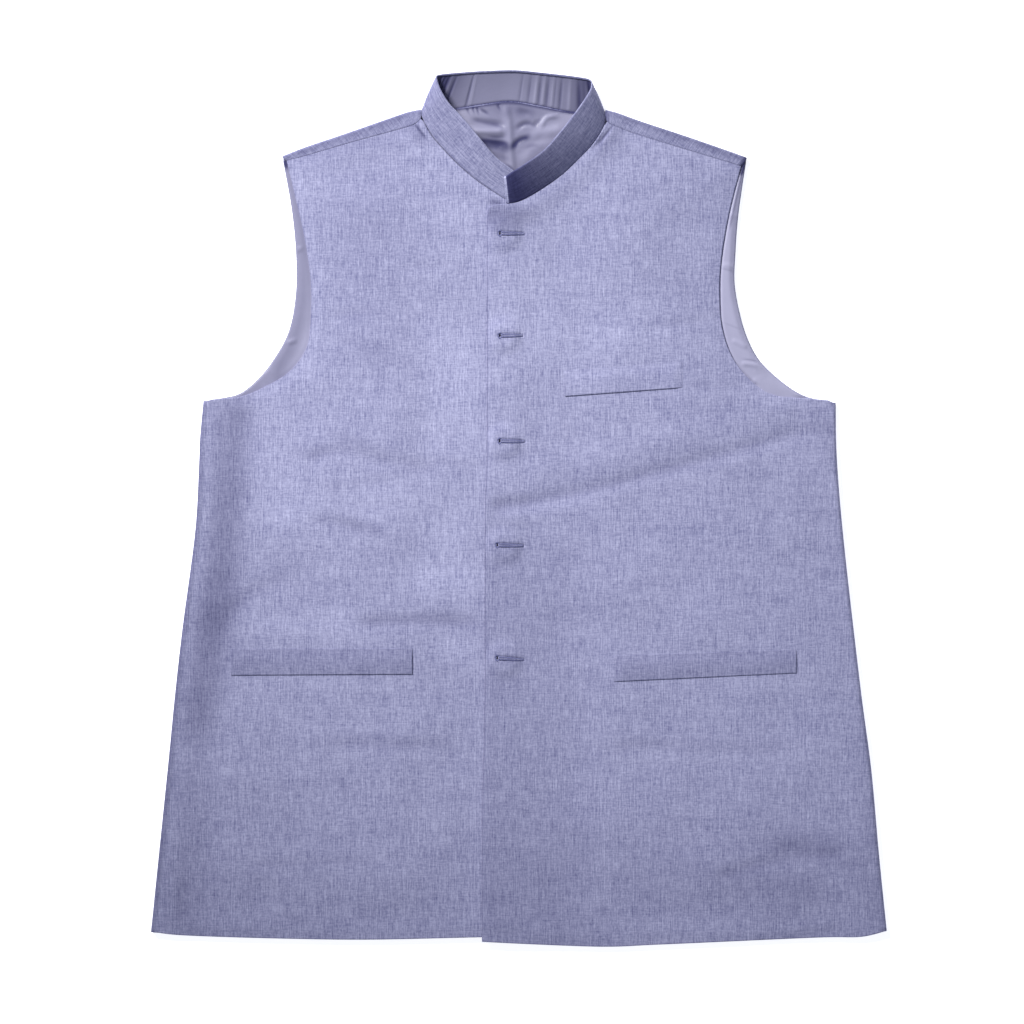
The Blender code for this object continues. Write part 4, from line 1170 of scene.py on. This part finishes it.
# The collar's top edge and the height of its seam where it isn't on a front. Rows as in the neck seam.
# Columns: the seam's height, the top edge's x, y and height, in millimetres.
ON_FRONT = -1.0
COLLAR_TOP = [
    (ON_FRONT, 2.0, 294.0, 10.0), (ON_FRONT, -6.2, 299.9, 11.5), (ON_FRONT, -20.4, 310.5, 14.0),
    (ON_FRONT, -31.8, 323.4, 16.0), (ON_FRONT, -43.2, 337.3, 17.0), (ON_FRONT, -53.5, 348.8, 17.5),
    (ON_FRONT, -61.7, 357.4, 17.5), (6.3, -68.3, 367.6, 17.0), (5.1, -72.6, 377.5, 14.8),
    (3.2, -73.3, 382.6, 11.3), (1.0, -70.5, 384.3, 8.8), (0.0, -63.0, 385.4, 7.6), (0.0, -47.0, 386.8, 7.0),
    (0.0, -31.0, 387.8, 7.0), (0.0, -3.6, 388.5, 7.0), (0.0, 21.0, 386.2, 7.0), (0.0, 44.0, 383.6, 7.0),
    (0.0, 57.0, 381.7, 7.5), (1.0, 62.5, 380.2, 8.8), (3.2, 64.4, 377.6, 11.3), (5.1, 64.2, 372.0, 14.8),
    (6.3, 61.5, 366.5, 17.0), (ON_FRONT, 55.0, 356.5, 18.5), (ON_FRONT, 45.5, 343.5, 19.5),
    (ON_FRONT, 33.9, 329.0, 19.8), (ON_FRONT, 22.1, 316.0, 19.8), (ON_FRONT, 6.4, 304.5, 19.5),
    (ON_FRONT, -5.4, 297.1, 19.0), (ON_FRONT, -12.7, 292.2, 18.5),
]

# Puckers of the inner ply. Columns: place in rows of the neck seam, half width and height towards the neck in
# millimetres.
PUCKERS = [
    (10.5, 1.6, -0.6), (10.75, 1.4, 0.3), (10.95, 1.5, -0.45), (11.2, 2.0, -0.5), (11.4, 1.5, 0.3),
    (11.6, 1.8, -0.5), (12.53, 1.3, -0.6), (12.7, 1.5, 0.25), (14.3, 0.8, -0.35), (14.6, 2.0, -0.4),
    (14.82, 2.2, 0.45), (14.97, 1.8, -0.5), (15.1, 1.6, 0.3), (15.24, 2.2, -0.5), (15.42, 2.0, 0.35),
    (15.5, 1.5, -0.2), (15.72, 2.0, -0.5), (16.1, 2.5, 0.3), (16.6, 3.0, -0.35), (17.2, 2.6, 0.3),
    (17.6, 1.8, -0.5), (17.85, 1.4, 0.3), (18.1, 1.6, -0.4),
]
PUCKER_FROM = 0.25
PUCKER_POWER = 0.7

# Painted shade on the outer and the inner ply: most on the right band, which faces away from the light, and
# at its tip, none on the strip at its very end, and in the inner ply's corners at the shoulders. Columns:
# place in rows of the neck seam, share.
BAND_PAINTED_SHADE = [(0, 0.27), (3, 0.32), (6, 0.41), (8, 0.52), (9.5, 0.58), (10.5, 0.25), (18, 0.25), (19, 0.28),
             (21, 0.37), (24, 0.46), (25, 0.6), (26, 0.84), (26.6, 0.95), (27, 1.0), (27.74, 1.0),
             (27.8, 0.0), (28, 0.0)]
INNER_PAINTED_SHADE = [(0, 0.35), (9, 0.7), (10.4, 1.0), (11, 0.98), (11.35, 0.8), (11.9, 0.6), (12.5, 0.47),
              (14, 0.4), (15, 0.46), (16.1, 0.54), (16.6, 0.74), (17.1, 0.9), (17.6, 1.0), (19, 1.0),
              (20, 0.6), (28, 0.4)]
# Painted shade on the inner ply's edges and in its puckers, and on the outer ply's turned top at the back
INNER_EDGE_PAINTED_SHADE = 0.6
INNER_PUCKER_PAINTED_SHADE = 0.6
TURNED_PAINTED_SHADE = 0.62
TURNED_PAINTED_SHADE_FROM = COLLAR_STRIPS + 2
END_ROLL = 1.3 * MM
END_ROLL_REACH = 3.0 * MM

seams = np.array(NECK_SEAM) * MM
seam_heights = np.array([row[0] for row in COLLAR_TOP]) * MM
on_front = seam_heights < 0
rows_at = np.arange(len(seams))
right_rows, left_rows = on_front & (rows_at < MIDDLE_ROW), on_front & (rows_at > MIDDLE_ROW)
seam_heights[right_rows] = under_top(seams[right_rows])
seam_heights[left_rows] = over_top(seams[left_rows])
rows = np.column_stack([seams / MM, seam_heights / MM, np.array(COLLAR_TOP)[:, 1:]])
stations = curve(rows, COLLAR_STATIONS) * MM
row_of = np.arange(len(stations)) / COLLAR_STATIONS
seam_points, top_points = stations[:, :3], stations[:, 3:]
rise = top_points - seam_points
width = np.linalg.norm(rise, axis=1)[:, None]
up_band = rise / width
along_band = np.gradient(seam_points + top_points, axis=0)
inward = np.cross(along_band, up_band)
inward /= np.linalg.norm(inward, axis=1)[:, None]
along_seam = run_along((seam_points + top_points) / 2)
at_corner = np.max([smooth(1 - np.abs(row_of - corner) / CORNER_REACH) for corner in CORNER_ROWS],
                   axis=0)[:, None]
thin = 1 - COLLAR_FOLD_THIN * at_corner
end_roll = (END_ROLL * smooth(1 - (along_seam[-1] - along_seam) / END_ROLL_REACH))[:, None]


def band(up, depth):
    """Points of the band, at distances up from its seam and at depths in from its outer face."""
    crown = COLLAR_CROWN * np.sin(np.pi * np.clip(up / width, 0, 1)) - end_roll
    raised = seam_points[:, None] + up_band[:, None] * up[..., None]
    return raised + inward[:, None] * (depth - crown)[..., None]


def band_cloth(first, second, up):
    """The cloth of one ply, from the grids of points of its two layers. Its weave runs along the band."""
    strips = first.shape[1]
    ids = np.arange(first.shape[0] * strips).reshape(-1, strips)
    quads = np.stack([ids[:-1, :-1], ids[1:, :-1], ids[1:, 1:], ids[:-1, 1:]], axis=-1).reshape(-1, 4)
    flat = first.reshape(-1, 3)
    a, b, d = (flat[quads[:, k]] for k in (0, 1, 3))
    facing = (np.cross(b - a, d - a) * (second.reshape(-1, 3)[quads[:, 0]] - a)).sum()
    if facing > 0:
        quads = quads[:, ::-1]
    weave = np.column_stack([np.broadcast_to(up, first.shape[:2]).ravel(), np.repeat(along_seam, strips)])
    faces = np.vstack([quads[:, [0, 1, 2]], quads[:, [0, 2, 3]]])
    return Cloth(faces, flat, second.reshape(-1, 3), weave)


def turned_over(lift):
    """Distances up and depths of the outer ply's outer face, or of the one that lies lift under it.

    The ply goes up, over the top edge and down on the inside.
    """
    turn, lift = COLLAR_TURN * thin, lift * thin
    share = np.linspace(0, 1, COLLAR_STRIPS)
    up = np.hstack([COLLAR_CLEARANCE + share * (width - turn - COLLAR_CLEARANCE),
                    width - turn + (turn - lift) * np.sin(TURN_ANGLES), width - turn - INSIDE_DEPTHS])
    depth = np.hstack([np.ones(COLLAR_STRIPS) * lift, turn - (turn - lift) * np.cos(TURN_ANGLES),
                       (2 * turn - lift) * np.ones(len(INSIDE_DEPTHS))])
    return up, depth


outer_up, outer_depth = turned_over(0.0)
lower_up, lower_depth = turned_over(COLLAR_PLY)
unrolled = np.concatenate([np.linspace(0, OUTER_CUT, COLLAR_STRIPS), OUTER_CUT + TURN_ANGLES * COLLAR_TURN,
                           OUTER_CUT + math.pi * COLLAR_TURN + INSIDE_DEPTHS])
outer_cloth = band_cloth(band(outer_up, outer_depth), band(lower_up, lower_depth), unrolled)
# Painted shade on the outer ply, more on its turned-over top at the back, and along its edges up to the
# band's end
band_painted_shade = np.tile(np.interp(row_of, *np.array(BAND_PAINTED_SHADE).T)[:, None], outer_up.shape[1])
at_back = smooth(np.minimum(row_of - CORNER_ROWS[0], CORNER_ROWS[1] - row_of))[:, None]
turned = band_painted_shade[:, TURNED_PAINTED_SHADE_FROM:]
turned[:] = np.maximum(turned, TURNED_PAINTED_SHADE * at_back)
collar_edge_painted_shade = np.broadcast_to(EDGE_SHADE * (row_of < EDGE_PAINTED_SHADE_TO)[:, None], outer_up.shape)
collar_outer = shell("collar_outer_ply", outer_cloth, chambray, band_painted_shade.ravel(), collar_edge_painted_shade.ravel())
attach(collar_outer, "root")
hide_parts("collar_outer")

inner_up = COLLAR_CLEARANCE + np.linspace(0, 1, COLLAR_STRIPS) * (width - INNER_SHORT - COLLAR_CLEARANCE)
pucker = np.zeros(len(stations))
for row, half_width, height in PUCKERS:
    place = np.interp(row, row_of, along_seam)
    pucker += height * MM * smooth(1 - np.abs(along_seam - place) / (half_width * MM))
pucker = pucker[:, None] * np.sin(np.linspace(PUCKER_FROM, 1.0, COLLAR_STRIPS) * math.pi) ** PUCKER_POWER
inner_faces = [band(inner_up, depth * thin + pucker) for depth in (INNER_TO, INNER_FROM)]
inner_cloth = band_cloth(*inner_faces, np.linspace(0, INNER_CUT, COLLAR_STRIPS))
# Painted shade on the inner ply, darker or lighter with its puckers
inner_painted_shade = np.interp(row_of, *np.array(INNER_PAINTED_SHADE).T)[:, None] - INNER_PUCKER_PAINTED_SHADE * pucker / MM
collar_inner = shell("collar_inner_ply", inner_cloth, satin, np.clip(inner_painted_shade, 0, 1).ravel(),
                     INNER_EDGE_PAINTED_SHADE)
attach(collar_inner, "root")
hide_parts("collar_inner")

# Buttons: five flat discs of dark blue horn, sewn on the right front under the left one. The discs are the
# part's own, so only their look is set.
HORN_DARK = linear(38, 40, 66)
HORN_PALE = linear(66, 69, 104)
horn = bpy.data.materials.new("button_horn")
horn.use_nodes = True
horn_shader = horn.node_tree.nodes["Principled BSDF"]
place = Shade(horn.node_tree).node("ShaderNodeTexCoord", {}, {}, output=3)
streaks = place.stretched(1.0, 3.0).noise(300, 300, 4.0, 0.6)
horn.node_tree.links.new((streaks * 0.5 + 0.5).between(HORN_DARK, HORN_PALE).socket,
                         horn_shader.inputs["Base Color"])
horn.node_tree.links.new((streaks * 0.08 + 0.34).socket, horn_shader.inputs["Roughness"])
for number in range(1, len(BUTTONHOLES) + 1):
    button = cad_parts[f"button_{number}"]
    for slot in button.material_slots:
        slot.material = horn

# Buttonhole stitches: close stitches of thread over the cut edge of each buttonhole, round its eye and along
# its slit. A geometry tree sets a small bead of thread across the edge at each stitch.
STITCH_SPACING = 0.5 * MM
STITCH_LENGTH = 1.5 * MM
STITCH_THICK = 0.46 * MM
STITCH_UNEVEN = (0.85, 1.1)
STITCH_LIFT = 0.12 * MM
STITCH_SEED = 5
BEAD = {"Segments": 8, "Rings": 5, "Radius": 0.5}

# The stitches' way, in millimetres: half its width along the slit, how much of that is lost towards the far
# end, where along the slit it starts, how far outside the eye it runs, and how wide it opens to the slit
PATH_HALF = 1.05
PATH_NARROWS = 0.55
PATH_FROM = 0.1
PATH_OFF_EYE = (0.85, 0.75)
PATH_OPENING = 0.35
PATH_SLIT_POINTS = 30
PATH_EYE_POINTS = 22

THREAD_DARK = linear(86, 88, 132)
THREAD_PALE = linear(126, 129, 172)
THREAD_BUMP = 0.03 * MM


def thread_colour(weave):
    return (weave.noise(900, 900) * 0.5 + 0.5).between(THREAD_DARK, THREAD_PALE)


def thread_roughness(weave):
    return weave.noise(500, 500) * 0.06 + 0.55


def thread_fibres(weave):
    return weave.noise(5000, 5000)


thread = finished("buttonhole_thread", thread_colour, thread_roughness, thread_fibres, THREAD_BUMP,
                  {"Specular IOR Level": 0.4})


def stitch_paths():
    """A mesh of open lines, one round each buttonhole, on the left front."""
    points, edges = [], []
    for x0, y0, x1, y1 in BUTTONHOLES:
        turns = np.linspace(PATH_OPENING, 2 * math.pi - PATH_OPENING, PATH_EYE_POINTS)
        eye = np.column_stack([x0 + (EYE[0] + PATH_OFF_EYE[0]) * np.cos(turns),
                               y0 + (EYE[1] + PATH_OFF_EYE[1]) * np.sin(turns)])
        shares = np.linspace(PATH_FROM, 1, PATH_SLIT_POINTS)
        axis = np.column_stack([x0 + (x1 - x0) * shares, y0 + (y1 - y0) * shares])
        half = PATH_HALF * (1 - PATH_NARROWS * shares ** 3)
        offset = np.column_stack([np.zeros(len(half)), half])
        line = np.vstack([(axis + offset)[::-1], eye, axis - offset]) * MM
        first = len(points)
        heights = over_top(line) + buttonhole_relief(line) + STITCH_LIFT
        points += at_heights(line, heights).tolist()
        edges += [(first + k, first + k + 1) for k in range(len(line) - 1)]
    mesh = bpy.data.meshes.new("buttonhole_stitches")
    mesh.from_pydata(points, edges, [])
    return mesh


stitching = bpy.data.node_groups.new("close_stitches", "GeometryNodeTree")
stitching.interface.new_socket("Geometry", in_out="OUTPUT", socket_type="NodeSocketGeometry")
sockets = {name: stitching.interface.new_socket(name, in_out="INPUT", socket_type="NodeSocket" + kind)
           for name, kind in (("Path", "Geometry"), ("Spacing", "Float"), ("Length", "Float"),
                              ("Thickness", "Float"), ("Seed", "Int"))}
group_input = stitching.nodes.new("NodeGroupInput")
given = {name: Shade(stitching, group_input.outputs[name]) for name in sockets}
add = Shade(stitching).node
line = add("GeometryNodeMeshToCurve", {}, {0: given["Path"]})
flat_line = add("GeometryNodeSetCurveNormal", {"mode": "Z_UP"}, {"Curve": line})
spots = add("GeometryNodeCurveToPoints", {"mode": "LENGTH"},
            {"Curve": flat_line, "Length": given["Spacing"]}, "Points")
turns = Shade(stitching, spots.socket.node.outputs["Rotation"])
uneven = add("FunctionNodeRandomValue", {"data_type": "FLOAT"},
             {2: STITCH_UNEVEN[0], 3: STITCH_UNEVEN[1], "Seed": given["Seed"]}, 1)
sizes = add("ShaderNodeCombineXYZ", {}, {0: given["Length"] * uneven, 1: given["Thickness"],
                                         2: given["Thickness"]})
bead = add("GeometryNodeMeshUVSphere", {}, BEAD)
stitches = add("GeometryNodeInstanceOnPoints", {},
               {"Points": spots, "Instance": bead, "Rotation": turns, "Scale": sizes})
real = add("GeometryNodeRealizeInstances", {}, {0: stitches})
coloured = add("GeometryNodeSetMaterial", {}, {0: real, "Material": thread})
stitching.links.new(coloured.socket, stitching.nodes.new("NodeGroupOutput").inputs[0])

paths = placed("buttonhole_paths", stitch_paths())
sewing = paths.modifiers.new("stitches", "NODES")
sewing.node_group = stitching
for name, value in (("Spacing", STITCH_SPACING), ("Length", STITCH_LENGTH), ("Thickness", STITCH_THICK),
                    ("Seed", STITCH_SEED)):
    sewing[sockets[name].identifier] = value
evaluated = paths.evaluated_get(bpy.context.evaluated_depsgraph_get())
stitch_mesh = bpy.data.meshes.new_from_object(evaluated)
bpy.data.objects.remove(paths)
stitch_mesh.shade_smooth()
stitch_places = np.empty(len(stitch_mesh.vertices) * 3)
stitch_mesh.vertices.foreach_get("co", stitch_places)
set_weave(stitch_mesh, stitch_places.reshape(-1, 3)[:, :2])
buttonhole_stitches = placed("buttonhole_stitches", stitch_mesh)
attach(buttonhole_stitches, "root")

# Floor, light and camera: a plain near-white floor, one large soft light from the upper left, low enough to
# show the cloth's relief, and a pale sky. The camera looks straight down, as in the photograph.
FLOOR_HALF = 8.0
FLOOR_Z = -0.0003
FLOOR_CORNERS = [(-FLOOR_HALF, -FLOOR_HALF, FLOOR_Z), (FLOOR_HALF, -FLOOR_HALF, FLOOR_Z),
                 (FLOOR_HALF, FLOOR_HALF, FLOOR_Z), (-FLOOR_HALF, FLOOR_HALF, FLOOR_Z)]
PAPER_DARK = (0.93, 0.93, 0.93, 1)
PAPER_PALE = (0.95, 0.95, 0.95, 1)
PAPER_SETTINGS = {"Roughness": 0.9, "Specular IOR Level": 0.0, "Emission Color": (1, 1, 1, 1),
                  "Emission Strength": 0.75}
floor_mesh = bpy.data.meshes.new("floor")
floor_mesh.from_pydata(FLOOR_CORNERS, [], [(0, 1, 2, 3)])
paper = bpy.data.materials.new("floor_paper")
paper.use_nodes = True
paper_shader = paper.node_tree.nodes["Principled BSDF"]
grain = Shade(paper.node_tree).node("ShaderNodeTexCoord", {}, {}, output=3).noise(40, 40)
paper.node_tree.links.new((grain * 0.5 + 0.5).between(PAPER_DARK, PAPER_PALE).socket,
                          paper_shader.inputs["Base Color"])
for socket, value in PAPER_SETTINGS.items():
    paper_shader.inputs[socket].default_value = value
floor_mesh.materials.append(paper)
floor = placed("floor", floor_mesh)

LIGHT_FROM = Vector((-0.62, 0.78, 0.0))
LIGHT_HEIGHT = math.radians(34)
LIGHT_DISTANCE = 3.0
LIGHT_AIM = Vector((-0.06, 0.14, 0.0))
LIGHT_POOL = math.radians(30)
LIGHT_RADIUS = 0.4
LIGHT_POWER = 710
SKY = 0.29
SKY_COLOUR = (0.8, 0.87, 1.13, 1)
toward_light = LIGHT_FROM.normalized() * math.cos(LIGHT_HEIGHT) + Vector((0, 0, math.sin(LIGHT_HEIGHT)))
lamp = bpy.data.lights.new("softbox", "SPOT")
lamp.spot_size = LIGHT_POOL
lamp.spot_blend = 1.0
lamp.shadow_soft_size = LIGHT_RADIUS
lamp.energy = LIGHT_POWER
softbox = placed("softbox", lamp)
softbox.location = LIGHT_AIM + toward_light * LIGHT_DISTANCE
softbox.rotation_euler = toward_light.to_track_quat("Z", "Y").to_euler()
world = bpy.data.worlds.new("sky")
world.use_nodes = True
world.node_tree.nodes["Background"].inputs["Color"].default_value = SKY_COLOUR
world.node_tree.nodes["Background"].inputs["Strength"].default_value = SKY
bpy.context.scene.world = world

CAMERA_OVER = (-0.0062, -0.0031)
CAMERA_HEIGHT = 3.0
FRAME_WIDTH = 0.9073
CLOTH_HEIGHT = 0.006
SENSOR_WIDTH = 36
lens = bpy.data.cameras.new("camera")
lens.sensor_width = SENSOR_WIDTH
lens.lens = lens.sensor_width * (CAMERA_HEIGHT - CLOTH_HEIGHT) / FRAME_WIDTH
camera = placed("camera", lens)
camera.location = (*CAMERA_OVER, CAMERA_HEIGHT)
bpy.context.scene.camera = camera
bpy.context.scene.view_settings.view_transform = "Standard"
